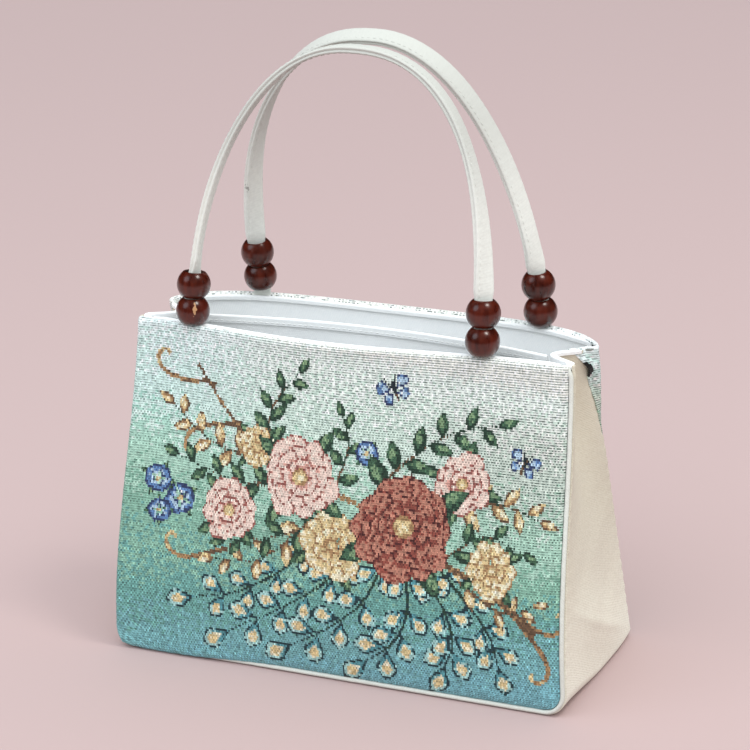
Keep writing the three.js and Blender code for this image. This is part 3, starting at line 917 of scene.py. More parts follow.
class NodeBoard:
    """A shader node tree while it is being wired."""

    def __init__(self, tree: Tree) -> None:
        """Take an empty or default tree."""
        self.tree = tree

    def feed(self, socket: Socket, value: Value) -> None:
        """Link an output to a socket, or set the socket's own value.

        Args:
            socket: Input of a node.
            value: Output of another node, or a plain value.
        """
        if isinstance(value, Socket):
            self.tree.links.new(value, socket)
        else:
            socket.default_value = value

    def node(self, kind: str, sockets: dict[str | int, Value] | None = None, **settings: object) -> Node:
        """Place a node.

        Args:
            kind: Type of node.
            sockets: Values and links of its inputs.
            settings: Its properties.

        Returns:
            The new node.
        """
        made = self.tree.nodes.new(kind)
        for key, value in settings.items():
            setattr(made, key, value)
        for key, value in (sockets or {}).items():
            self.feed(made.inputs[key], value)
        return made

    def math(self, operation: str, *values: Value) -> Socket:
        """Work out one value from others."""
        return self.node("ShaderNodeMath", dict(enumerate(values)), operation=operation).outputs[0]

    def vector(self, operation: str, *values: Value) -> Node:
        """Work out a vector, or its length, from others."""
        return self.node("ShaderNodeVectorMath", dict(enumerate(values)), operation=operation)

    def group(self, tree: Tree, **sockets: Value) -> Node:
        """Place a shared effect with its own values."""
        return self.node("ShaderNodeGroup", sockets, node_tree=tree)

    def place(self) -> Socket:
        """Object coordinates."""
        return self.node("ShaderNodeTexCoord").outputs["Object"]

    def cloth(self) -> Socket:
        """The sheet's own map."""
        return self.node("ShaderNodeTexCoord").outputs["UV"]

    def bump(self, height: Value, strength: float, relief: float) -> Socket:
        """Normal of a face that a height raises by up to a relief in millimetres."""
        sockets = {"Height": height, "Strength": strength, "Distance": relief * MM}
        return self.node("ShaderNodeBump", sockets).outputs[0]

    def tint(self, tone: Value, mask: Value, share: float, colour: Colour) -> Socket:
        """Lay a share of a screen colour on a tone where a mask is 1."""
        return self.mix(self.math("MULTIPLY", mask, share), tone, opaque(colour))

    def wave(self, phase: Value) -> Socket:
        """Sine of a phase counted in turns."""
        return self.math("SINE", self.math("MULTIPLY", phase, 2 * math.pi))

    def ramp(self, value: Value, low: float, high: float) -> Socket:
        """Ease a value from 0 at low to 1 at high."""
        sockets = {"Value": value, "From Min": low, "From Max": high}
        return self.node("ShaderNodeMapRange", sockets, interpolation_type="SMOOTHSTEP").outputs[0]

    def mix(self, share: Value, first: Value, second: Value, blend: str = "MIX") -> Socket:
        """Mix two colours."""
        sockets = {0: share, 6: first, 7: second}
        return self.node("ShaderNodeMix", sockets, data_type="RGBA", blend_type=blend).outputs[2]

    def noise(self, vector: Value, scale: Value, detail: float = 3.0) -> Socket:
        """Cloudy value of about 0.3 to 0.7."""
        sockets = {"Vector": vector, "Scale": scale, "Detail": detail}
        return self.node("ShaderNodeTexNoise", sockets).outputs[0]

    def stretched(self, scale: Sequence[float]) -> Socket:
        """Object coordinates, scaled along each axis."""
        return self.node("ShaderNodeMapping", {"Vector": self.place(), "Scale": scale}).outputs[0]


class SharedEffects:
    """Shader node groups that several finishes use."""

    def __init__(self) -> None:
        """Build the groups."""
        self.weave = self._weave()
        self.soil = self._soil()
        self.spot = self._spot()

    @staticmethod
    def _group(name: str, inputs: dict[str, str], outputs: Sequence[str]) -> tuple[NodeBoard, dict, Node]:
        """Start a group with named sockets.

        Args:
            name: Name of the group.
            inputs: Socket types by name.
            outputs: Names of its values.

        Returns:
            The board, its input sockets by name, and its output node.
        """
        tree = bpy.data.node_groups.new(name, "ShaderNodeTree")
        for key, kind in inputs.items():
            tree.interface.new_socket(name=key, in_out="INPUT", socket_type=kind)
        for key in outputs:
            tree.interface.new_socket(name=key, in_out="OUTPUT", socket_type="NodeSocketFloat")
        board = NodeBoard(tree)
        given = board.node("NodeGroupInput").outputs
        return board, {key: given[key] for key in inputs}, board.node("NodeGroupOutput")

    def _weave(self) -> Tree:
        """Threads of a twill or plain cloth: their height and the dark gaps between them.

        Returns:
            The group.
        """
        inputs = {"Cloth": "NodeSocketVector", "Pitch": "NodeSocketFloat", "Slant": "NodeSocketFloat"}
        board, given, out = self._group("cloth_weave", inputs, ("Height", "Gap"))
        axes = board.node("ShaderNodeSeparateXYZ", {0: given["Cloth"]}).outputs
        wobble = board.noise(given["Cloth"], 0.35)
        u = board.math("DIVIDE", axes[0], given["Pitch"])
        v = board.math("DIVIDE", axes[1], given["Pitch"])
        slanted = board.math("ADD", u, board.math("MULTIPLY", v, given["Slant"]))
        rib = board.wave(board.math("ADD", slanted, wobble))
        cross = board.wave(board.math("MULTIPLY", v, 2.0))
        height = board.math("ADD", board.math("MULTIPLY", rib, 0.75), board.math("MULTIPLY", cross, 0.25))
        board.feed(out.inputs["Height"], board.math("MULTIPLY_ADD", height, 0.5, 0.5))
        board.feed(out.inputs["Gap"], board.ramp(board.math("MULTIPLY", height, -1.0), 0.1, 0.9))
        return board.tree

    def _soil(self) -> Tree:
        """Uneven soiling and fading of cloth in handling.

        Returns:
            The group.
        """
        inputs = {"Place": "NodeSocketVector", "Scale": "NodeSocketFloat"}
        board, given, out = self._group("soil", inputs, ("Cloud", "Speck"))
        cloud = board.noise(given["Place"], given["Scale"], 5.0)
        speck = board.noise(given["Place"], board.math("MULTIPLY", given["Scale"], 38.0), 2.0)
        board.feed(out.inputs["Cloud"], board.ramp(cloud, 0.35, 0.7))
        board.feed(out.inputs["Speck"], board.ramp(speck, 0.3, 0.7))
        return board.tree

    def _spot(self) -> Tree:
        """One small patch with a ragged edge.

        Returns:
            The group.
        """
        inputs = {key: "NodeSocketVector" for key in ("Place", "Middle", "Reach")}
        board, given, out = self._group("spot", inputs, ("Mask",))
        away = board.vector("SUBTRACT", given["Place"], given["Middle"]).outputs[0]
        share = board.vector("DIVIDE", away, given["Reach"]).outputs[0]
        reach = board.vector("LENGTH", share).outputs["Value"]
        edge = board.math("SUBTRACT", board.noise(given["Place"], 600.0), 0.5)
        ragged = board.math("MULTIPLY_ADD", edge, 3.6, reach)
        board.feed(out.inputs["Mask"], board.math("SUBTRACT", 1.0, board.ramp(ragged, 0.7, 1.0)))
        return board.tree

    def spot_mask(self, board: NodeBoard, middle: Spot, size: Spot) -> Socket:
        """Place the patch in a material."""
        spot = board.group(self.spot, Place=board.place(), Middle=metres(middle), Reach=metres(size))
        return spot.outputs["Mask"]


def new_material(name: str, roughness: float, sheen: float) -> tuple[Material, NodeBoard, Node]:
    """Start a material.

    Args:
        name: Name of the material.
        roughness: Plain roughness, until something is linked to it.
        sheen: Weight of the cloth's soft sheen.

    Returns:
        The material, its board and its shader node.
    """
    material = bpy.data.materials.new(name)
    material.use_nodes = True
    shader = material.node_tree.nodes["Principled BSDF"]
    shader.inputs["Roughness"].default_value = roughness
    shader.inputs["Sheen Weight"].default_value = sheen
    shader.inputs["Sheen Roughness"].default_value = 0.5
    return material, NodeBoard(material.node_tree), shader


def opaque(colour: Sequence[float]) -> tuple[float, ...]:
    """Screen colour as a linear colour with full alpha."""
    return (*linear(colour).tolist(), 1.0)


@dataclass(frozen=True)
class ClothFinish:
    """A plain woven cloth."""

    name: str
    colour: Colour
    hollow: Colour
    soil: Colour
    pitch: float
    slant: float
    relief: float
    gap: float = 0.5
    soiling: float = 0.35
    # Painted shade: a share of the hollow tone laid on towards the top, over a band of heights.
    top_shade: float = 0.0
    top_shade_zone: Place = (0.0, 110.0)
    stain: Spot | None = None
    stain_size: Spot = (1.2, 3.0, 3.4)
    stain_colour: Colour = (92, 92, 84)
    stain_share: float = 0.6
    fleck: float = 0.16
    soil_scale: float = 14.0
    strength: float = 0.6

    def make(self, effects: SharedEffects) -> Material:
        """Build the material.

        Args:
            effects: Shared node groups.

        Returns:
            The material.
        """
        material, board, shader = new_material(self.name, 0.88, 0.12)
        place = board.place()
        weave = board.group(effects.weave, Cloth=board.cloth(), Pitch=self.pitch, Slant=self.slant).outputs
        soil = board.group(effects.soil, Place=place, Scale=self.soil_scale).outputs
        tone = board.tint(opaque(self.colour), soil["Cloud"], self.soiling, self.soil)
        tone = board.tint(tone, soil["Speck"], self.fleck, self.hollow)
        # Painted shade: the cloth darkens towards the top.
        if self.top_shade:
            height = board.node("ShaderNodeSeparateXYZ", {0: place}).outputs[2]
            tone = board.tint(tone, board.ramp(height, *metres(self.top_shade_zone)), self.top_shade, self.hollow)
        if self.stain is not None:
            mask = effects.spot_mask(board, self.stain, self.stain_size)
            tone = board.tint(tone, mask, self.stain_share, self.stain_colour)
        tone = board.tint(tone, weave["Gap"], self.gap, self.hollow)
        board.feed(shader.inputs["Base Color"], tone)
        board.feed(shader.inputs["Normal"], board.bump(weave["Height"], self.strength, self.relief))
        return material


@dataclass(frozen=True)
class TapestryFinish:
    """Jacquard cloth: cells of coloured thread, crossed by dashes of a darker binding thread."""

    name: str = "tapestry_jacquard"
    binding: Colour = (80, 98, 94)
    slub: Colour = (222, 226, 226)
    relief: float = 0.3
    strength: float = 0.7

    def make(self) -> Material:
        """Build the material, which reads cells of cloth in the sheet's own map.

        Returns:
            The material.
        """
        material, board, shader = new_material(self.name, 0.8, 0.1)
        cloth = board.cloth()
        u, v, _ = board.node("ShaderNodeSeparateXYZ", {0: cloth}).outputs
        thread = board.node("ShaderNodeAttribute", attribute_name=THREAD_LAYER)
        trough = board.ramp(board.wave(board.math("SUBTRACT", v, 0.25)), -0.2, 0.7)
        gap = board.math("MULTIPLY", trough, thread.outputs["Alpha"])
        uneven = board.ramp(board.noise(cloth, 0.5), 0.4, 0.65)
        tone = board.mix(uneven, thread.outputs["Color"], opaque(self.slub), "MULTIPLY")
        dark = board.mix(1.0, tone, opaque(self.binding), "MULTIPLY")
        board.feed(shader.inputs["Base Color"], board.mix(gap, tone, dark))
        yarn = board.math("ABSOLUTE", board.wave(board.math("MULTIPLY", u, 0.5)))
        lift = board.math("SUBTRACT", board.math("MULTIPLY", yarn, 0.4), gap)
        board.feed(shader.inputs["Normal"], board.bump(lift, self.strength, self.relief))
        board.feed(shader.inputs["Roughness"], board.math("MULTIPLY_ADD", gap, 0.15, 0.75))
        return material


@dataclass(frozen=True)
class WoodFinish:
    """Dark stained and lacquered wood with a straight grain, and a chip in it if it has a place."""

    name: str = "bead_wood"
    dark: Colour = (42, 10, 5)
    mid: Colour = (74, 20, 8)
    pale: Colour = (116, 42, 16)
    raw: Colour = (178, 136, 98)
    chip: Spot | None = None
    chip_size: Spot = (0.85, 2.4, 3.4)
    streaks: float = 0.3
    relief: float = 0.1
    strength: float = 0.15

    def make(self, effects: SharedEffects) -> Material:
        """Build the material.

        Args:
            effects: Shared node groups.

        Returns:
            The material.
        """
        material, board, shader = new_material(self.name, 0.3, 0.0)
        cloud = board.noise(board.stretched((1.0, 1.0, 0.6)), 130.0, 2.0)
        grain = board.noise(board.stretched((1.0, 1.0, 0.22)), 420.0, 5.0)
        streak = board.ramp(grain, 0.3, 0.75)
        tone = board.mix(board.ramp(cloud, 0.2, 0.75), opaque(self.dark), opaque(self.mid))
        tone = board.tint(tone, streak, self.streaks, self.pale)
        if self.chip is not None:
            chip = effects.spot_mask(board, self.chip, self.chip_size)
            tone = board.mix(chip, tone, opaque(self.raw))
        board.feed(shader.inputs["Base Color"], tone)
        board.feed(shader.inputs["Roughness"], board.math("MULTIPLY_ADD", streak, 0.14, 0.26))
        board.feed(shader.inputs["Normal"], board.bump(grain, self.strength, self.relief))
        shader.inputs["Specular IOR Level"].default_value = 0.2
        shader.inputs["Coat Weight"].default_value = 0.9
        shader.inputs["Coat Roughness"].default_value = 0.22
        return material


class Face(Enum):
    """The two tapestry panels."""

    FRONT = "front_panel"
    BACK = "back_panel"


@dataclass
class TapestryPanel:
    """One woven panel, with its hem turned over the rim."""

    form: BagForm
    face: Face
    flat: Place
    columns: int = 290
    rows: int = 145
    wall: float = 1.0
    hem_radius: float = 1.75
    hem_run: float = 5.0
    seam_dip: float = 0.8
    dip_reach: float = 0.8
    slack: float = 0.45
    slack_wave: float = 120.0
    slack_reach: float = 25.0
    pucker: float = 0.16
    pucker_reach: float = 5.0
    lap_from: float = -18.0
    lap_over: float = 72.0
    lap_side: float = 6.1
    lap_base: float = 2.3
    lap_forward: float = 2.1
    lap_radius: float = 2.6
    lap_start: float = 0.3
    wrap_left: float = 7.0
    wrap_right: float = 9.5
    wrap_fade: float = 45.0
    wrap_free: float = 164.0
    wrap_slack: float = 0.6
    # A painted shadow: near-black cells at the back panel's right edge, a little below the rim, for the dark
    # gap behind the loose wrapped edge.
    gap_shadow_cells: float = 2.8
    gap_shadow_reach: float = 4.6
    gap_shadow_colour: Colour = (5, 5, 4)
    # Painted shade on the back panel's wrapped side edges: a darker, warmer tint and more dark binding.
    edge_shade_from: float = 0.455
    edge_shade_top: float = 164.0
    edge_shade_tint: Colour = (0.98, 0.88, 0.8)
    edge_shade_binding: float = 0.3
    seed: int = 7

    def top(self) -> float:
        """Height of the rim."""
        return self.form.height if self.face is Face.FRONT else self.form.back_top

    def profile(self, up: Array) -> tuple[Array, Array, Array]:
        """Follow the cloth up the face, over the rim and down inside.

        Args:
            up: Shares of the cloth's length.

        Returns:
            Heights, depths behind the outer face, and lengths of cloth from the base.
        """
        straight = self.top() - self.hem_radius - self.form.panel_inset
        run = up * (straight + math.pi * self.hem_radius + self.hem_run)
        rise, depth = turned_hem(run, straight, self.hem_radius)
        return self.form.panel_inset + rise, depth, run

    def surface(self, across: Array, up: Array) -> Array:
        """Points of the outer face for shares across and up."""
        return self._front(across, up) if self.face is Face.FRONT else self._back(across, up)

    def _swell(self, x: Array, z: Array) -> Array:
        """Slack of the cloth, none at its sewn edges.

        Args:
            x: Places across.
            z: Heights.

        Returns:
            Distances out of the face.
        """
        seam = self.form.to_seam(x, z, self.form.front_corner)
        pucker = self.pucker * np.sin(z * 1.05 + 0.8 * np.sin(x * 0.9)) * np.exp(-seam / self.pucker_reach)
        return self.slack * ripple(x, z, self.slack_wave) * smooth(seam / self.slack_reach) + pucker

    def _front(self, across: Array, up: Array) -> Array:
        """Points of the front panel, whose left and lower left edges are rolled over the piping.

        Args:
            across: Shares across.
            up: Shares up.

        Returns:
            Points, a row each.
        """
        z, depth, _ = self.profile(up)
        level = np.clip(z, self.form.panel_inset, self.form.height)
        reach = self.form.outline_x(level, self.form.panel_inset, self.form.front_corner)
        x = (2 * across - 1) * reach
        seam = self.form.to_seam(x, level, self.form.front_corner)
        side = np.exp(-(reach - np.abs(x)) / 3) + 1e-9
        base = np.exp(-(level - self.form.panel_inset) / 3)
        out_x, out_z = -side / np.hypot(side, base), -base / np.hypot(side, base)
        lap = smooth((self.lap_from - x) / self.lap_over) * (1 - 0.8 * smooth(depth / self.hem_radius - 0.6))
        spare = lap * (self.lap_side * out_x ** 2 + self.lap_base * out_z ** 2)
        past = spare * np.clip(1 - seam / 60, 0, 1) ** 2 - seam
        turn = np.clip((past - self.lap_start) / self.lap_radius, 0, math.pi / 2)
        out = np.where(turn > 0, self.lap_start + self.lap_radius * np.sin(turn), past) + seam
        forward = self.lap_forward * np.exp(np.minimum(past - self.lap_start, 0) / 7)
        beyond = np.maximum(past - self.lap_start - self.lap_radius * math.pi / 2, 0)
        forward -= self.lap_radius * (1 - np.cos(turn)) + beyond
        dip = self.seam_dip * np.exp(-seam / self.dip_reach) * (1 - lap)
        y = self.form.front_face(x, level) + depth + (dip - self._swell(x, level)) * (depth == 0)
        return np.stack([x + out_x * out * lap, y - forward * lap, z + out_z * out * lap], 1)

    def _back(self, across: Array, up: Array) -> Array:
        """Points of the back panel, whose upper side edges come round the corners.

        Args:
            across: Shares across.
            up: Shares up.

        Returns:
            Points, a row each.
        """
        points = np.empty((len(up), 3))
        for value, pick in by_level(up):
            z, depth, _ = (float(part[0]) for part in self.profile(np.array([value])))
            fade = math.exp((z - self.top()) / self.wrap_fade) * smooth((z - 60) / 60)
            length = float(lengths(self.form.back_row(z, np.linspace(0, 1, 80)))[-1])
            left, right = (wrap * fade / length for wrap in (self.wrap_left, self.wrap_right))
            share = (1 - across[pick]) * (1 + left + right) - left
            fold = depth * (1 - 0.4 * smooth((share - 0.93) / 0.05))
            row = self.form.back_row(z, np.clip(share, 0, 1), fold)
            if depth > 1.9 * self.hem_radius:
                row[:, 2] = between(z, self.top() - self.hem_radius, 0.85 * smooth((share - 0.9) / 0.05))
            past = np.maximum(np.maximum(-share, share - 1), 0) * length
            row[:, 1] -= past
            row[:, 0] = self._hug(row, past, z, fold)
            if depth == 0:
                flat = np.full(len(row), z)
                seam = self.form.to_seam(row[:, 0], flat, self.form.back_corner)
                dip = self.seam_dip * np.exp(-seam / self.dip_reach) * (past == 0)
                row[:, 1] += self._swell(row[:, 0], flat) - dip
            points[pick] = row
        return points

    def _hug(self, row: Array, past: Array, z: float, fold: Array) -> Array:
        """Places across of a level whose ends lie on the gusset, but stand free a little below the rim.

        Args:
            row: Points of the level.
            past: Distance of each point past the corner.
            z: Height.
            fold: Depth of each point in the hem.

        Returns:
            Places across.
        """
        side = np.sign(row[:, 0])
        level = np.full(len(row), min(z, self.form.height))
        front = float(self.form.front_edge(level[0]))
        v = np.clip((row[:, 1] - front) / (float(self.form.back_edge(level[0])) - front), 0, 1)
        right, left = (self.form.side_face(hand, v, level)[:, 0] for hand in (1, -1))
        skin = np.where(side > 0, right, left) + side * (self.wall + 0.1 - fold)
        loose = self.wrap_slack * math.exp(-((z - self.wrap_free) / 5.5) ** 2)
        held = smooth((past - 1) / 3.5) * (1 - loose)
        return between(row[:, 0] - side * 0.016 * past ** 2, skin, held)

    def build(self, cloth: FlowerCloth, material: Material, reverse: Material) -> None:
        """Weave and sew the panel.

        Args:
            cloth: Design of the jacquard.
            material: Jacquard finish.
            reverse: Finish of the cloth's wrong side.
        """
        cells = (self.columns, self.rows)
        name = f"{self.face.value}_cloth"
        obj = lay_cloth(name, cells, cells, self.surface, partial(self.colour, cloth))
        for finish in (material, reverse):
            obj.data.materials.append(finish)
        thicken(obj, self.wall, material_offset=1)
        round_off(obj, 70)
        register(obj, material, "tapestry", self.face.value)

    def colour(self, cloth: FlowerCloth, obj: Piece) -> None:
        """Weave the design into the sheet's cells.

        Args:
            cloth: Design of the jacquard.
            obj: Flat sheet.
        """
        share = sheet_shares(obj.data.polygons, "center")
        _, _, run = self.profile(share[:, 1])
        column = np.floor(share[:, 0] * self.columns).astype(int)
        row = np.floor(share[:, 1] * self.rows).astype(int)
        x = (share[:, 0] - 0.5) * (self.form.base_width + self.form.mouth_width) / 2
        loom = Loom(x, run + self.form.panel_inset, column, row, self.seed)
        cloth.weave(loom)
        tone = np.empty((len(share), 4))
        tone[:, 3] = loom.bind()
        tone[:, :3] = linear(np.clip(loom.colour, 0, 255))
        if self.face is Face.BACK:
            # Painted shade: the side edges that turn round the corners, below the rim, get a darker, warmer
            # tint and more dark binding thread.
            edge_shade = smooth((np.abs(share[:, 0] - 0.5) - self.edge_shade_from) / 0.02)
            edge_shade *= smooth((self.edge_shade_top - loom.z) / 20)
            tone[:, 3] = np.clip(tone[:, 3] + self.edge_shade_binding * edge_shade, 0, 1)
            tone[:, :3] *= between(1.0, np.array(self.edge_shade_tint), edge_shade[:, None])
            # Painted shadow: the right edge's cells turn near-black in a short run below the rim, where the
            # loose edge leaves a gap.
            gap_shadow = self.gap_shadow_cells * (1 - ((loom.z - self.wrap_free) / self.gap_shadow_reach) ** 2)
            tone[column < gap_shadow] = opaque(self.gap_shadow_colour)
        layer = obj.data.color_attributes.new(THREAD_LAYER, "FLOAT_COLOR", "CORNER")
        layer.data.foreach_set("color", np.repeat(tone, 4, axis=0).astype(np.float32).ravel())


@dataclass
class CanvasGusset:
    """One canvas strip: down one side, across the base and up the other side."""

    form: BagForm
    columns: int = 44
    side_rows: int = 100
    base_rows: int = 60
    wall: float = 1.5
    corner: float = 0.12
    swell: float = 0.35
    pucker: float = 0.22
    ridge: float = 0.8
    ridge_spread: float = 2.6
    flat: Place = (108.0, 585.0)
    cut_area: float = 51500.0

    def surface(self, across: Array, along: Array) -> Array:
        """Points of the outer face.

        Args:
            across: Shares from the front seam to the back seam.
            along: Shares from the left rim round to the right rim.

        Returns:
            Points, a row each.
        """
        rows = 2 * self.side_rows + self.base_rows
        step = along * rows
        side = np.where(step < rows / 2, -1, 1)
        up = np.clip((np.abs(step - rows / 2) - self.base_rows / 2) / self.side_rows, 0, 1)
        radius = self.form.corner_radius(across)
        arc = np.clip(up / self.corner, 0, 1) * math.pi / 2
        rise = between(radius, self.form.height, (up - self.corner) / (1 - self.corner))
        z = np.where(up < self.corner, radius * (1 - np.cos(arc)), rise)
        right = (side > 0)[:, None]
        wall = np.where(right, self.form.side_face(1, across, z), self.form.side_face(-1, across, z))
        share = np.clip((step - self.side_rows) / self.base_rows, 0, 1) * 2 - 1
        front = self.form.front_edge(0.0) + self.form.gusset_setback
        back = self.form.back_edge(0.0) - self.form.gusset_setback
        base_x = share * self.form.corner_x(radius)
        on_base = up <= 0
        seam = np.minimum(across, 1 - across) * 100
        swell = self.swell * ripple(wall[:, 1] * 1.6, z, 60) * smooth(seam / 14) * smooth((z - 14) / 20)
        pucker = self.pucker * np.sin(z * 0.9 + 4 * across) * np.exp(-seam / 5) * smooth((z - 10) / 10)
        fold = (z - between(self.form.crease_front, self.form.crease_back, across)) / self.ridge_spread
        crease = self.ridge * np.exp(-fold * fold) * np.sin(math.pi * across)
        x = np.where(on_base, base_x, wall[:, 0] + side * (swell + pucker + crease))
        y = np.where(on_base, between(front, back, across), wall[:, 1])
        return np.stack([x, y, np.where(on_base, 0.0, z)], 1)

    def build(self, material: Material) -> None:
        """Cut and sew the strip.

        Args:
            material: Finish.
        """
        cells = (self.columns, 2 * self.side_rows + self.base_rows)
        obj = lay_cloth("gusset_canvas", cells, self.flat, self.surface)
        thicken(obj, self.wall)
        round_off(obj)
        register(obj, material, "canvas", "gusset")


@dataclass
class SeamPiping:
    """Cord in a canvas strip, sewn into the seam between a panel and the gusset."""

    form: BagForm
    face: Face
    radius: float = 1.15
    rolled: float = 1.8
    lowered: float = 1.0
    leaning: float = 1.2
    sunken: float = 1.2
    strip: float = 600.0
    around: int = 14
    along: int = 420

    def path(self) -> Array:
        """Centre line from the left rim round the base to the right rim.

        Returns:
            Evenly spaced points, a row each.
        """
        front = self.face is Face.FRONT
        corner = self.form.front_corner if front else self.form.back_corner
        edge = self.form.front_edge if front else self.form.back_edge
        side = -1 if front else 1
        arc = np.linspace(0, math.pi / 2, 16)
        bend = corner - self.form.pipe_inset
        top = self.form.height - self.lowered
        z = np.concatenate([corner - bend * np.cos(arc), np.linspace(corner, top, 80)[1:]])
        x = self.form.outline_x(z, self.form.pipe_inset, corner)
        right = np.stack([x, edge(z) - side * self.form.seam_backset, z], 1)
        left = right[::-1] * (-1, 1, 1)
        height = left[:, 2]
        left[:, 0] += self.rolled * smooth((height - 6) / 16) if front else self.form.left_pull(height)
        sunk = self.leaning * smooth((z - top) / 5 + 1) if front else self.form.seam_tuck(1, z)
        right[:, 0] -= sunk + (0.0 if front else self.sunken * smooth((z - 90) / 25))
        line = np.vstack([left, right])
        run = lengths(line)
        return sample(np.linspace(0, run[-1], self.along + 1), run, line)

    def surface(self, across: Array, along: Array) -> Array:
        """Points of the cord's cover, with the slant wrinkles of a strip cut on the bias.

        Args:
            across: Shares around.
            along: Shares along.

        Returns:
            Points, a row each.
        """
        path = self.path()
        ahead = unit(np.gradient(path, axis=0))
        level = unit(np.array([0.0, 1.0, 0.0]) - ahead * ahead[:, 1:2])
        outward = np.cross(ahead, level)
        i = np.round(along * self.along).astype(int)
        angle = across * 2 * math.pi
        wrinkle = 1 + 0.05 * np.sin(angle + i * 0.7) * np.sin(i * 0.31)
        rounded = np.sqrt(np.clip(np.minimum(i, self.along - i) / 2, 0.2, 1))
        reach = (self.radius * wrinkle * rounded)[:, None]
        return path[i] + reach * (level[i] * np.cos(angle)[:, None] + outward[i] * np.sin(angle)[:, None])

    def build(self, material: Material) -> None:
        """Roll the cover round the cord.

        Args:
            material: Finish.
        """
        node = "piping_front" if self.face is Face.FRONT else "piping_back"
        size = (2 * math.pi * self.radius, self.strip)
        obj = lay_cloth(f"{node}_cord", (self.around, self.along), size, self.surface)
        close_up(obj)
        round_off(obj)
        register(obj, material, "canvas", node)


@dataclass
class Lining:
    """White cloth inside the bag, hemmed at the mouth."""

    form: BagForm
    depth: float = 2.25
    wall: float = 0.5
    rise: float = -0.2
    back_drop: float = 1.5
    hem_depth: float = 50.0
    hem_fold: float = 1.6
    hem_radius: float = 0.55
    hem_run: float = 1.5
    turn_out: float = 2.9
    flank_rise: float = 0.9
    back_skip: float = 0.035
    slack: float = 1.3
    slack_wave: float = 55.0
    stations: tuple[float, ...] = (0.0, 0.74, 0.88, 1.0)
    measure: Place = (640.0, 180.0)
    rows: int = 100
    front_columns: int = 64
    side_columns: int = 40
    back_columns: int = 72
    flat: Place = (300.0, 500.0)
    cut_area: float = 142000.0

    def profile(self, up: float) -> tuple[float, float]:
        """Follow the cloth up the wall, over the rim and down again.

        Args:
            up: Share of the rows.

        Returns:
            Height at the front, and distance turned away from the wall.
        """
        straight = self.form.height + self.rise - self.hem_radius - self.depth
        turn = straight + math.pi * self.hem_radius
        run = np.interp(up, self.stations, (0.0, straight, turn, turn + self.hem_run))
        rise, away = turned_hem(run, straight, self.hem_radius)
        return self.depth + float(rise), float(away)

    def inset(self, x: Array, z: Array) -> Array:
        """Depth of the lining's outer face behind the panel's outer face.

        Args:
            x: Places across.
            z: Heights.

        Returns:
            Depths.
        """
        taper = smooth((self.form.half_width(z) - self.form.panel_inset - np.abs(x)) / 12)
        hem = self.hem_fold * taper * smooth((z - (self.form.height - self.hem_depth)) / 34)
        slack = (0.5 + 0.5 * ripple(x, z, self.slack_wave)) * self.slack
        slack *= smooth((self.form.height - z - 4) / 26)
        return self.depth + hem + slack

    def loop(self, z: float, turn: float) -> Array:
        """One row of the cup, anticlockwise from the left end of the front.

        Args:
            z: Height.
            turn: Distance that the hem is turned away from the wall.

        Returns:
            Points, one row each, the last on the first.
        """
        high = smooth(z / self.form.height)
        level = min(z, self.form.height)
        reach = float(self.form.outline_x(level, self.depth, self.form.front_corner)) - between(2.5, 5, high)
        x = reach * np.sin(np.linspace(-0.5, 0.5, self.front_columns) * math.pi)
        inner = self.inset(x, level) + turn * smooth((reach - np.abs(x)) / 9)
        front = np.stack([x, self.form.front_face(x, level) + inner * 1.03, np.full(len(x), z)], 1)
        right = self.flank(1, z, turn)
        share = np.linspace(self.back_skip, 1 - self.back_skip, self.back_columns)[::-1]
        outer = self.form.back_row(level, share)
        inner = self.inset(outer[:, 0], np.full(len(outer), level))
        inner += turn * smooth(np.minimum(share, 1 - share) / self.back_skip - 1)
        back = self.form.back_row(level, share, inner)
        back[:, 2] = z + (self.form.back_top - self.form.height - self.back_drop) * smooth((z - 150) / 24)
        return np.vstack([front, right, back, self.flank(-1, z, turn)[::-1], front[:1]])

    def flank(self, side: int, z: float, turn: float) -> Array:
        """Stretch of a row along one side, from front to back, turned out over the gusset's edge.

        Args:
            side: 1 on the right and -1 on the left.
            z: Height.
            turn: Distance that the hem is turned.

        Returns:
            Points, a row each.
        """
        high = smooth(z / self.form.height)
        skip = between(0.06, 0.17, high) * (1 - 0.4 * turn / self.hem_radius)
        v = np.linspace(skip, 1 - skip, self.side_columns)
        level = np.full(len(v), min(z, self.form.height))
        inland = np.minimum(v - skip, 1 - skip - v)
        over = self.turn_out * turn * smooth(inland / 0.1)
        outer = self.form.side_face(side, v, level, 0.0)
        inner = self.form.side_face(side, v, level, self.depth)
        points = outer + (inner - outer) * ((self.depth - over) / self.depth)[:, None]
        points[:, 2] = z + self.flank_rise * smooth((z - 160) / 12) * smooth(inland / 0.06)
        return points

    def surface(self, across: Array, up: Array) -> Array:
        """Points of the cup's outer face.

        Args:
            across: Shares around.
            up: Shares up.

        Returns:
            Points, a row each.
        """
        points = np.empty((len(up), 3))
        for value, pick in by_level(up):
            around = np.round(across[pick] * self.columns()).astype(int)
            points[pick] = self.loop(*self.profile(value))[around]
        return points

    def seam(self, below: float) -> Array:
        """Line on the back hem's visible face, from left to right.

        Args:
            below: Distance below the rim.

        Returns:
            Points, a row each.
        """
        row = self.loop(self.form.height + self.rise - below, 2 * self.hem_radius)
        first = self.front_columns + self.side_columns
        return row[first:first + self.back_columns][::-1]

    def columns(self) -> int:
        """Cells round the cup."""
        return self.front_columns + 2 * self.side_columns + self.back_columns

    def build(self, material: Material) -> None:
        """Sew the cup.

        Args:
            material: Finish.
        """
        obj = lay_cloth("lining_cloth", (self.columns(), self.rows), self.measure, self.surface)
        select_only(obj)
        bpy.ops.object.mode_set(mode="EDIT")
        bpy.ops.mesh.select_all(action="SELECT")
        bpy.ops.mesh.remove_doubles(threshold=1e-6)
        bpy.ops.object.mode_set(mode="OBJECT")
        self.add_base(obj)
        thicken(obj, self.wall)
        round_off(obj)
        register(obj, material, "lining", "lining")

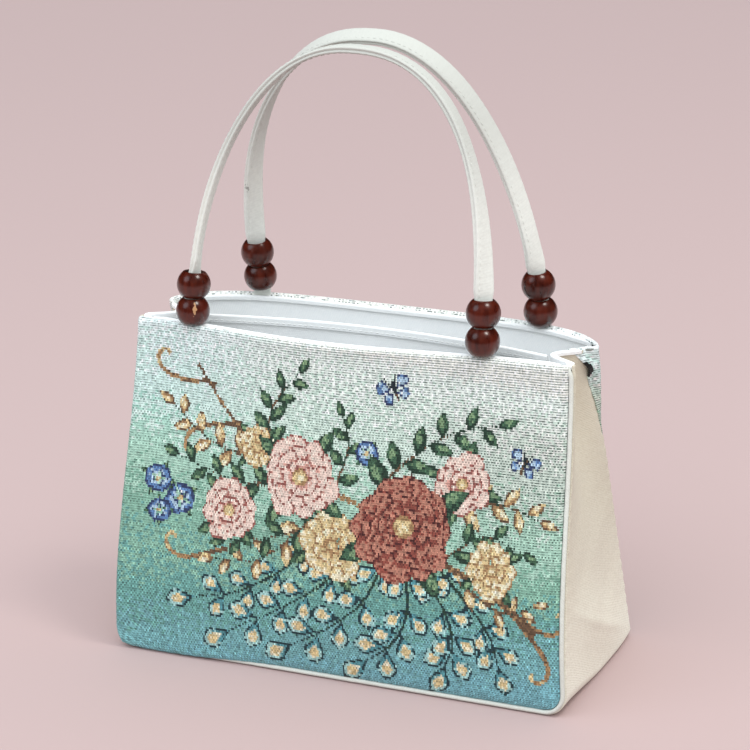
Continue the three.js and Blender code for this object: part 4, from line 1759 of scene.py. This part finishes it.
    def add_base(self, obj: Piece) -> None:
        """Fill the cup's lowest loop with a base.

        Args:
            obj: Cup, open at its foot.
        """
        mesh = obj.data
        low = [vertex.co.z < (self.depth + 0.01) * MM for vertex in mesh.vertices]
        mesh.vertices.foreach_set("select", low)
        mesh.edges.foreach_set("select", [all(low[i] for i in edge.vertices) for edge in mesh.edges])
        mesh.polygons.foreach_set("select", [False] * len(mesh.polygons))
        bpy.ops.object.mode_set(mode="EDIT")
        bpy.ops.mesh.select_mode(type="EDGE")
        bpy.ops.mesh.edge_face_add()
        bpy.ops.mesh.select_all(action="SELECT")
        bpy.ops.mesh.normals_make_consistent(inside=False)
        bpy.ops.object.mode_set(mode="OBJECT")


@dataclass
class Divider:
    """Cloth wall across the middle of the mouth, with a hemmed top edge."""

    form: BagForm
    depth: float = 3.65
    wall: float = 0.6
    top: float = 173.0
    bow: float = 12.5
    hem_radius: float = 0.35
    hem_run: float = 3.2
    slack: float = 0.9
    slack_wave: float = 75.0
    stations: tuple[float, ...] = (0.0, 0.8, 0.9, 1.0)
    columns: int = 110
    rows: int = 100
    flat: Place = (222.0, 184.0)

    def surface(self, across: Array, up: Array) -> Array:
        """Points of the front face, with the hem turned down in front of it.

        Args:
            across: Shares from left to right.
            up: Shares from the base, over the top and down to the hem's edge.

        Returns:
            Points, a row each.
        """
        straight = self.top - self.hem_radius - self.depth
        turn = straight + math.pi * self.hem_radius
        run = np.interp(up, self.stations, (0.0, straight, turn, turn + self.hem_run))
        rise, away = turned_hem(run, straight, self.hem_radius)
        return self.at(2 * across - 1, self.depth + rise) - np.outer(away, (0, 1, 0))

    def at(self, u: Array, z: Array) -> Array:
        """Points of the wall's front face.

        Args:
            u: Shares of its half width, from -1 to 1.
            z: Heights.

        Returns:
            Points, a row each.
        """
        end = self.form.side_face(1, np.full(len(z), 0.5), z, self.depth)
        bow = self.bow * smooth(z / self.form.height) * (1 - u * u)
        swell = self.slack * ripple(u * 100, z, self.slack_wave) * smooth((self.top - z) / 25) * (1 - u * u)
        return np.stack([u * end[:, 0], end[:, 1] + bow + swell - self.wall / 2, z], 1)

    def build(self, material: Material) -> None:
        """Sew the wall.

        Args:
            material: Finish.
        """
        obj = lay_cloth("divider_cloth", (self.columns, self.rows), self.flat, self.surface)
        thicken(obj, self.wall)
        round_off(obj)
        register(obj, material, "lining", "divider")


@dataclass(frozen=True)
class StrapRow:
    """Arch of one handle: its feet, its top and how each leg turns on its way up."""

    name: str
    side: int
    middle: float
    half: float
    top: float
    lean: float
    roundness: Place
    bow: Place
    sway: float
    pace: float
    clear: Place
    pitch: Place
    tilt: float
    turned: Place
    power: Place
    ease: Place


STRAPS = (
    StrapRow("front", -1, -7.8, 78.7, 317.0, 23.5, (2.2, 2.4), (1.2, 0.0), 3.5, 1.0, (0.0, 1.0), (13.7, 14.0),
             -4.0, (11.0, 55.0), (0.6, 2.5), (36.0, 26.0)),
    StrapRow("back", 1, 4.7, 78.1, 320.9, -18.8, (2.4, 2.05), (2.5, 0.8), -3.0, 1.4, (2.7, 0.2), (13.3, 14.5),
             -25.0, (65.0, -22.0), (1.2, 1.0), (26.0, 45.0)),
)


@dataclass
class StrapHandle:
    """Folded and stitched canvas strap, arched from foot to foot."""

    form: BagForm
    row: StrapRow
    width: float = 10.6
    thick: float = 3.7
    neck_width: float = 9.1
    neck_thick: float = 3.0
    tail: float = 7.0
    tail_thick: float = 1.3
    seat: float = 2.75
    girth: float = 26.0
    bead_top: float = 26.0
    neck_from: float = 27.5
    neck_over: float = 6.0
    pucker: float = 0.035
    swell: float = 0.05
    around: int = 32
    along: int = 260

    def __post_init__(self) -> None:
        """Work out the feet and the centre line."""
        self.feet = {sign: self.foot(sign) for sign in (-1, 1)}
        self.line, self.ahead = self.centre_line()

    def rim_y(self, x: float) -> float:
        """Depth of the panel's outer face at the rim.

        Args:
            x: Place across.

        Returns:
            Y of the face.
        """
        if self.row.side < 0:
            return float(self.form.front_face(np.array(x), np.array(self.form.height)))
        points = self.form.back_row(self.form.back_top, np.linspace(0, 1, 401))
        return float(np.interp(x, points[:, 0], points[:, 1]))

    def foot(self, sign: int) -> tuple[Array, Array]:
        """Where a leg leaves the hem, and the way the panel faces there.

        Args:
            sign: -1 for the left leg and 1 for the right one.

        Returns:
            Point and normal.
        """
        x = self.row.middle + sign * self.row.half
        slope = (self.rim_y(x + 1) - self.rim_y(x - 1)) / 2
        normal = np.array([-slope, 1.0, 0.0]) * self.row.side / math.hypot(slope, 1)
        top = self.form.height if self.row.side < 0 else self.form.back_top
        return np.array([x, self.rim_y(x), top]) - normal * self.seat, normal

    def arch(self, s: float) -> Array:
        """Point of the arch.

        Args:
            s: -1 at the left foot, 0 at the top and 1 at the right foot.

        Returns:
            The point.
        """
        sign = -1 if s < 0 else 1
        foot = self.feet[sign][0]
        other = self.feet[-sign][0]
        rise = self.row.top - foot[2]
        angle = (1 - abs(s)) * math.pi / 2
        leg = int(sign > 0)
        power = 2 / self.row.roundness[leg]
        share = math.sin(angle) ** power
        spread = max(math.cos(angle), 0.0) ** power
        x = (foot[0] + other[0]) / 2 + self.row.sway * smooth(self.row.pace * share)
        x += (foot[0] - other[0]) / 2 * spread + sign * self.row.bow[leg] * 4 * share * (1 - share)
        y = between((foot[1] + other[1]) / 2, foot[1], math.cos(angle) ** 2)
        return np.array([x, y + self.row.lean * share ** 1.2, foot[2] + rise * share])

    def centre_line(self) -> tuple[Array, Array]:
        """Follow the strap from tail to tail.

        Returns:
            Evenly spaced points, and the direction at each.
        """
        share = np.linspace(-1, 1, 601)
        eased = np.sign(share) * (1 - (1 - np.abs(share)) ** 1.25)
        points = np.array([self.arch(float(s)) for s in eased])
        drop = np.array([[0, 0, self.tail], [0, 0, self.tail / 2]])
        points = np.vstack([points[0] - drop, points, points[-1] - drop[::-1]])
        run = lengths(points)
        self.length = float(run[-1])
        line = sample(np.linspace(0, self.length, self.along + 1), run, points)
        return line, unit(np.gradient(line, axis=0))

    def at(self, distance: float) -> tuple[Array, Array]:
        """Read the centre line at a length along the strap.

        Args:
            distance: Length from the left tail.

        Returns:
            Point and direction.
        """
        i = distance / self.length * self.along
        steps = np.arange(self.along + 1)
        return sample(i, steps, self.line), unit(sample(i, steps, self.ahead))

    def frames(self) -> tuple[Array, Array, Array, Array]:
        """Work out how the strap lies at each point of its line.

        Returns:
            Cross direction, face direction, half width and half thickness.
        """
        wide = np.empty_like(self.line)
        face = np.empty_like(self.line)
        size = np.empty((len(self.line), 2))
        for i, (point, ahead) in enumerate(zip(self.line, self.ahead)):
            leg = 0 if i < len(self.line) / 2 else 1
            foot, normal = self.feet[2 * leg - 1]
            h = point[2] - foot[2]
            fade = np.clip(1 - (h - self.bead_top) / (self.row.top - foot[2] - self.bead_top), 0, 1)
            fade **= self.row.power[leg]
            free = between(self.row.tilt, self.row.turned[leg], fade)
            flat = 90.0 * (1 - 2 * leg) * self.row.side
            angle = math.radians(between(flat, free, smooth(h / self.row.ease[leg])))
            outward = unit(np.array([ahead[2], 0.0, -ahead[0]]))
            towards = -outward * math.cos(angle) + normal * math.sin(angle)
            face[i] = unit(towards - ahead * towards.dot(ahead))
            wide[i] = np.cross(ahead, face[i])
            neck = smooth((h - self.neck_from) / self.neck_over)
            full = between(self.neck_thick, self.thick, neck)
            size[i, 0] = between(self.neck_width, self.width, neck) / 2
            size[i, 1] = between(self.tail_thick, full, smooth((h - 0.6) / 2)) / 2
        return wide, face, size[:, 0], size[:, 1]

    def section(self, angle: Array) -> tuple[Array, Array]:
        """Rounded outline of the strap, with the folded edges meeting in a groove along one side.

        Args:
            angle: Angles round the strap.

        Returns:
            Shares of the half width and of the half thickness.
        """
        c, s = np.cos(angle), np.sin(angle)
        a = np.sign(c) * np.abs(c) ** 0.34
        b = np.sign(s) * np.abs(s) ** 0.62
        groove = 0.14 * np.exp(-((np.angle(np.exp(1j * angle)) / 0.16) ** 2))
        return a * (1 - groove), b

    def surface(self, across: Array, along: Array) -> Array:
        """Points of the strap's skin.

        Args:
            across: Shares around.
            along: Shares along.

        Returns:
            Points, a row each.
        """
        wide, face, half, thick = self.frames()
        i = np.round(along * self.along).astype(int)
        a, b = self.section(across * 2 * math.pi)
        run = i * self.length / self.along
        pucker = self.pucker * np.sin(run * 1.25) * (np.abs(a) > 0.55)
        pucker += 1 + self.swell * np.sin(run * 0.11 + self.row.side)
        return self.line[i] + wide[i] * (a * half[i])[:, None] + face[i] * (b * thick[i] * pucker)[:, None]

    def build(self, material: Material) -> None:
        """Fold the strap.

        Args:
            material: Finish.
        """
        cells = (self.around, self.along)
        size = (self.girth, self.length)
        obj = lay_cloth(f"handle_{self.row.name}_strap", cells, size, self.surface)
        close_up(obj)
        round_off(obj)
        register(obj, material, "canvas", f"handle_{self.row.name}")


@dataclass
class BeadSet:
    """Bored wooden beads on the legs of the handles."""

    radius: float = 8.65
    seat: float = 6.8
    bore: float = 4.95
    apart: float = 0.5
    lip: float = 0.7

    def model(self, height: float) -> Piece:
        """Turn one bead round the Z axis: a ball cut flat at both ends and bored through.

        Args:
            height: From end to end.

        Returns:
            The bead, at the origin.
        """
        bpy.ops.object.select_all(action="DESELECT")
        bpy.ops.mesh.primitive_uv_sphere_add(segments=56, ring_count=36, radius=self.radius * MM)
        bead = bpy.context.object
        flat = height / 2 * MM
        bpy.ops.object.mode_set(mode="EDIT")
        for end in (-1, 1):
            bpy.ops.mesh.select_all(action="SELECT")
            bpy.ops.mesh.bisect(plane_co=(0, 0, end * flat), plane_no=(0, 0, end), clear_outer=True)
        bpy.ops.mesh.select_mode(type="EDGE")
        bpy.ops.mesh.select_all(action="DESELECT")
        bpy.ops.mesh.select_non_manifold()
        bpy.ops.mesh.extrude_edges_move()
        lip = self.bore / math.sqrt(self.radius ** 2 - (height / 2) ** 2)
        bpy.ops.transform.resize(value=(lip, lip, 1.0), center_override=(0, 0, 0))
        bpy.ops.mesh.bridge_edge_loops()
        bpy.ops.mesh.select_all(action="SELECT")
        bpy.ops.mesh.normals_make_consistent(inside=False)
        bpy.ops.object.mode_set(mode="OBJECT")
        modify(bead, "BEVEL", width=self.lip * MM, segments=3, limit_method="ANGLE",
                         angle_limit=math.radians(28))
        return bead

    def build(self, strap: StrapHandle, wood: dict[str, Material]) -> None:
        """Thread the beads on a strap's two legs.

        Args:
            strap: Handle that carries them.
            wood: Finishes of beads by node, and the plain one as "plain".
        """
        for leg, label in enumerate(("left", "right")):
            pattern = self.model(strap.row.pitch[leg] - self.apart)
            for step, place in enumerate(("lower", "upper")):
                node = f"bead_{strap.row.name}_{label}_{place}"
                centre, turn = self.place(strap, leg, step)
                bead = pattern.copy()
                bead.data = pattern.data.copy()
                bead.name = f"{node}_turned"
                bead.data.name = bead.name
                bpy.context.scene.collection.objects.link(bead)
                spin = Matrix.Rotation(1.9 * leg + 0.8 * step, 4, "Z")
                bead.data.transform(Matrix.Translation(Vector(centre * MM)) @ turn @ spin)
                round_off(bead, 35)
                register(bead, wood.get(node, wood["plain"]), "wood", node)
            bpy.data.objects.remove(pattern)

    def place(self, strap: StrapHandle, leg: int, step: int) -> tuple[Array, Matrix]:
        """Centre of a bead on a leg, and the turn that stands it along the strap.

        Args:
            strap: Handle that carries it.
            leg: 0 for the left leg and 1 for the right one.
            step: 0 for the lower bead and 1 for the upper one.

        Returns:
            Centre and turn.
        """
        distance = strap.tail + strap.row.clear[leg] + self.seat + step * strap.row.pitch[leg]
        point, ahead = strap.at(distance if leg == 0 else strap.length - distance)
        upward = Vector(ahead if ahead[2] > 0 else -ahead)
        return point, Vector((0, 0, 1)).rotation_difference(upward).to_matrix().to_4x4()


@dataclass
class StitchRun:
    """A row of stitches along a path on a surface."""

    pitch: float = 3.0
    length: float = 2.2
    radius: float = 0.3
    flatness: float = 0.8
    sides: int = 6
    stations: tuple[Spot, ...] = ((0.0, 0.25, -0.35), (0.25, 1.0, 0.1), (0.75, 1.0, 0.1), (1.0, 0.25, -0.35))

    def sew(self, path: Array, normal: Array) -> tuple[Array, list[list[int]]]:
        """Lay the stitches.

        Args:
            path: Points along the row.
            normal: Way the surface faces at each point.

        Returns:
            Corners and faces of all the stitches.
        """
        run = lengths(path)
        starts = np.arange(self.pitch / 2, run[-1] - self.length, self.pitch)
        share, swell, lift = np.array(self.stations).T
        at = (starts[:, None] + share * self.length).ravel()
        swell, lift = (np.tile(row, len(starts))[:, None] * self.radius for row in (swell, lift))
        up = unit(sample(at, run, normal))
        i = np.searchsorted(run, at)
        cross = np.cross(up, unit(path[np.minimum(i, len(path) - 1)] - path[np.maximum(i - 1, 0)]))
        s = self.sides
        angle = 2 * math.pi * np.arange(s)[:, None] / s
        ring = cross[:, None] * np.cos(angle) + up[:, None] * np.sin(angle) * self.flatness
        points = ((sample(at, run, path) + up * lift)[:, None] + ring * swell[:, None]).reshape(-1, 3)
        last = (len(self.stations) - 1) * s
        walls = [(a + k, a + (k + 1) % s) for a in range(0, last, s) for k in range(s)]
        stitch = [[a, b, b + s, a + s] for a, b in walls]
        stitch += [list(reversed(range(s))), list(range(last, last + s))]
        faces = [[base + i for i in face] for base in range(0, len(points), last + s) for face in stitch]
        return points, faces


class Stitching:
    """All the visible rows of stitches, one mesh for each piece that carries them."""

    def __init__(self, lining: Material, canvas: Material) -> None:
        """Keep the finishes of the threads by the slot that they are sewn on."""
        self.threads = {"lining": lining, "canvas": canvas}

    def join(self, name: str, rows: Sequence[tuple[Array, Array]], run: StitchRun, slot: str) -> None:
        """Sew several rows as one piece.

        Args:
            name: Name of the piece.
            rows: Path and normals of each row.
            run: Stitch sizes.
            slot: Name of the thread's finish, lining or canvas.
        """
        points: list[Array] = []
        faces: list[list[int]] = []
        count = 0
        for path, normal in rows:
            more, corners = run.sew(path, normal)
            points.append(more)
            faces += [[i + count for i in face] for face in corners]
            count += len(more)
        obj = new_mesh(name, np.vstack(points), faces)
        close_up(obj)
        round_off(obj)
        register(obj, self.threads[slot], slot)

    def mouth(self, lining: Lining, divider: Divider) -> None:
        """Sew the hems of the lining and the divider.

        Args:
            lining: Lining of the bag.
            divider: Wall across the mouth.
        """
        back = lining.seam(lining.hem_radius + lining.hem_run - 0.8)
        self.join("lining_stitches", [(back, inward(back))], StitchRun(), "lining")
        ridge = divider.at(np.linspace(-0.97, 0.97, 200), np.full(200, divider.top - divider.hem_run + 0.8))
        ridge[:, 1] -= 2 * divider.hem_radius + divider.wall
        self.join("divider_stitches", [(ridge, np.tile((0.0, -1.0, 0.0), (200, 1)))], StitchRun(), "lining")

    def strap(self, strap: StrapHandle) -> None:
        """Sew a strap's folded edges together, on both faces.

        Args:
            strap: Handle to sew.
        """
        wide, face, half, thick = strap.frames()
        keep = slice(24, -24)
        rows = []
        for side in (-1, 1):
            edge = strap.line + wide * (half * 0.62)[:, None] + face * (thick * side * 0.97)[:, None]
            rows.append((edge[keep], face[keep] * side))
        run = StitchRun(3.2, 2.3, 0.26)
        self.join(f"handle_{strap.row.name}_stitches", rows, run, "canvas")


def inward(path: Array) -> Array:
    """Level normals of the back wall, into the bag."""
    ahead = np.gradient(path, axis=0)
    return unit(np.stack([ahead[:, 1], -ahead[:, 0], np.zeros(len(path))], 1))


@dataclass
class Studio:
    """Camera, floor and soft light."""

    azimuth: float = 23.2
    elevation: float = 21.2
    distance: float = 1373.5
    target: tuple[float, float, float] = (0.0, -3.0, 100.0)
    focal_pixels: float = 2668.0
    centre_pixels: Place = (-8.7, 90.2)
    roll: float = -1.0
    frame_pixels: float = 750.0
    sensor: float = 36.0
    floor_colour: Colour = (186, 163, 161)
    floor_size: float = 24.0
    lamp_reach: float = 2.0

    def axes(self) -> tuple[Vector, Vector, Vector]:
        """Directions of the photograph's own camera.

        Returns:
            Right, up and back.
        """
        a, e = math.radians(self.azimuth), math.radians(self.elevation)
        back = Vector((math.sin(a) * math.cos(e), -math.cos(a) * math.cos(e), math.sin(e)))
        right = Vector((math.cos(a), math.sin(a), 0.0))
        return right, back.cross(right), back

    def camera(self) -> None:
        """Place the camera and aim it through the middle of the frame."""
        right, up, back = self.axes()
        shift_x, shift_y = (c / self.focal_pixels for c in self.centre_pixels)
        aim = (-back - right * shift_x + up * shift_y).normalized()
        data = bpy.data.cameras.new("camera")
        data.sensor_width = self.sensor
        data.lens = self.sensor * self.focal_pixels / self.frame_pixels
        data.clip_end = 100.0
        camera = bpy.data.objects.new("camera", data)
        bpy.context.scene.collection.objects.link(camera)
        camera.location = Vector(self.target) * MM + back * self.distance * MM
        level = aim.to_track_quat("-Z", "Y").to_matrix()
        camera.rotation_euler = (level @ Matrix.Rotation(math.radians(self.roll), 3, "Z")).to_euler()
        bpy.context.scene.camera = camera

    def floor(self) -> None:
        """Lay a plain pale floor under the bag."""
        bpy.ops.object.select_all(action="DESELECT")
        bpy.ops.mesh.primitive_plane_add(size=self.floor_size, location=(0, 0, 0))
        floor = bpy.context.object
        floor.name = "floor"
        material, _, shader = new_material("floor_paper", 0.9, 0.0)
        shader.inputs["Base Color"].default_value = opaque(self.floor_colour)
        floor.data.materials.append(material)

    def lamp(self, name: str, kind: str, towards: Vector, power: float, colour: Colour, size: float) -> None:
        """Hang one soft light that faces the bag.

        Args:
            name: Name of the light.
            kind: SUN for an even light, AREA for a lamp that shows in polished wood.
            towards: Direction from the bag to the light.
            power: Strength of a sun, or watts of a lamp.
            colour: Screen colour.
            size: Angle of a sun in degrees, or diameter of a lamp in metres.
        """
        data = bpy.data.lights.new(name, kind)
        data.energy = power
        data.color = linear(colour).tolist()
        if kind == "SUN":
            data.angle = math.radians(size)
        else:
            data.shape = "DISK"
            data.size = size
        lamp = bpy.data.objects.new(name, data)
        bpy.context.scene.collection.objects.link(lamp)
        lamp.location = Vector((0, 0, 0.12)) + towards.normalized() * self.lamp_reach
        lamp.rotation_euler = towards.to_track_quat("Z", "Y").to_euler()
        lamp.visible_glossy = kind == "AREA"

    def light(self) -> None:
        """Set a broad light from the upper left, a small one from the upper right and a pale surround."""
        right, up, back = self.axes()
        self.lamp("window", "SUN", right * -0.1 + up * 0.6 + back, 1.3, (242, 249, 255), 60.0)
        self.lamp("sky", "SUN", right * 0.05 + up * 1.0 + back * 0.5, 1.0, (246, 251, 255), 100.0)
        self.lamp("spot", "AREA", right * 0.42 + up * 0.78 + back * 0.6, 12.0, (255, 252, 246), 0.55)
        self.lamp("pane", "AREA", right * -0.7 + up * 0.5 + back * 0.5, 6.4, (236, 244, 255), 1.2)
        world = bpy.data.worlds.new("surround")
        bpy.context.scene.world = world
        world.use_nodes = True
        sky = world.node_tree.nodes["Background"].inputs
        sky["Color"].default_value = opaque((244, 249, 252))
        sky["Strength"].default_value = 0.7
        world.cycles_visibility.glossy = False
        bpy.context.scene.view_settings.view_transform = "Standard"

    def build(self) -> None:
        """Set up the whole studio."""
        self.camera()
        self.floor()
        self.light()


def seen_side(centre: Array, studio: Studio, across: float, forward: float) -> Spot:
    """Point near a piece's middle, on the side that the photograph shows."""
    right, _, back = studio.axes()
    return tuple(Vector(centre) + right * across + back * forward)


def main() -> None:
    """Build the studio, the finishes and every piece of the bag."""
    logging.basicConfig(level=logging.INFO, format="%(name)s: %(message)s")
    studio = Studio()
    studio.build()
    form = BagForm()
    effects = SharedEffects()
    straps = [StrapHandle(form, row) for row in STRAPS]
    beads = BeadSet()
    # The gusset's canvas is darkened towards its top: painted shade.
    canvas = ClothFinish("cream_canvas", (242, 240, 225), (178, 165, 140), (230, 222, 204),
                         pitch=4.2, slant=2.5, relief=0.09, gap=0.18, top_shade=0.55).make(effects)
    scuff = seen_side(straps[1].at(SCUFF_ALONG)[0], studio, *SCUFF_OFFSET)
    # The strap's canvas is darkened near the top of the arch: painted shade.
    webbing = ClothFinish("strap_canvas", (227, 229, 222), (184, 185, 178), (217, 215, 205),
                          pitch=2.2, slant=1.4, relief=0.06, gap=0.08, top_shade=0.8,
                          top_shade_zone=(228.0, 290.0), stain=scuff).make(effects)
    # The front piping's cover is a darker, greyer copy of the gusset's canvas: painted shade.
    bias = ClothFinish("piping_canvas", (216, 219, 211), (180, 178, 166), (208, 207, 197),
                       pitch=2.2, slant=1.4, relief=0.06, gap=0.15).make(effects)
    # The jacquard's wrong side is a darker grey, partly the cloth's own back and partly painted shade in the
    # hollows behind the panels.
    reverse = ClothFinish("tapestry_reverse", (160, 168, 164), (112, 120, 116), (150, 154, 148),
                          pitch=1.3, slant=0.0, relief=0.1).make(effects)
    cotton = ClothFinish("white_cotton", (252, 253, 252), (231, 236, 239), (247, 249, 249),
                         pitch=1.2, slant=0.6, relief=0.06, gap=0.2, soiling=0.2).make(effects)
    thread = ClothFinish("white_thread", (236, 238, 236), (200, 200, 194), (228, 228, 224),
                         pitch=0.6, slant=1.0, relief=0.05).make(effects)
    tapestry = TapestryFinish().make()
    chip = seen_side(beads.place(straps[0], 0, 0)[0], studio, *CHIP_OFFSET)
    wood = {"plain": WoodFinish().make(effects),
            "bead_front_left_lower": WoodFinish("bead_wood_chipped", chip=chip).make(effects)}
    cloth = FlowerCloth()
    TapestryPanel(form, Face.FRONT, (252.0, 188.0), columns=300, rows=145).build(cloth, tapestry, reverse)
    TapestryPanel(form, Face.BACK, (266.0, 190.0)).build(cloth, tapestry, reverse)
    CanvasGusset(form).build(canvas)
    SeamPiping(form, Face.FRONT).build(bias)
    SeamPiping(form, Face.BACK, lowered=50.0).build(canvas)
    lining = Lining(form)
    lining.build(cotton)
    divider = Divider(form)
    divider.build(cotton)
    stitching = Stitching(thread, webbing)
    stitching.mouth(lining, divider)
    for strap in straps:
        strap.build(webbing)
        stitching.strap(strap)
        beads.build(strap, wood)


if __name__ == "__main__":
    main()
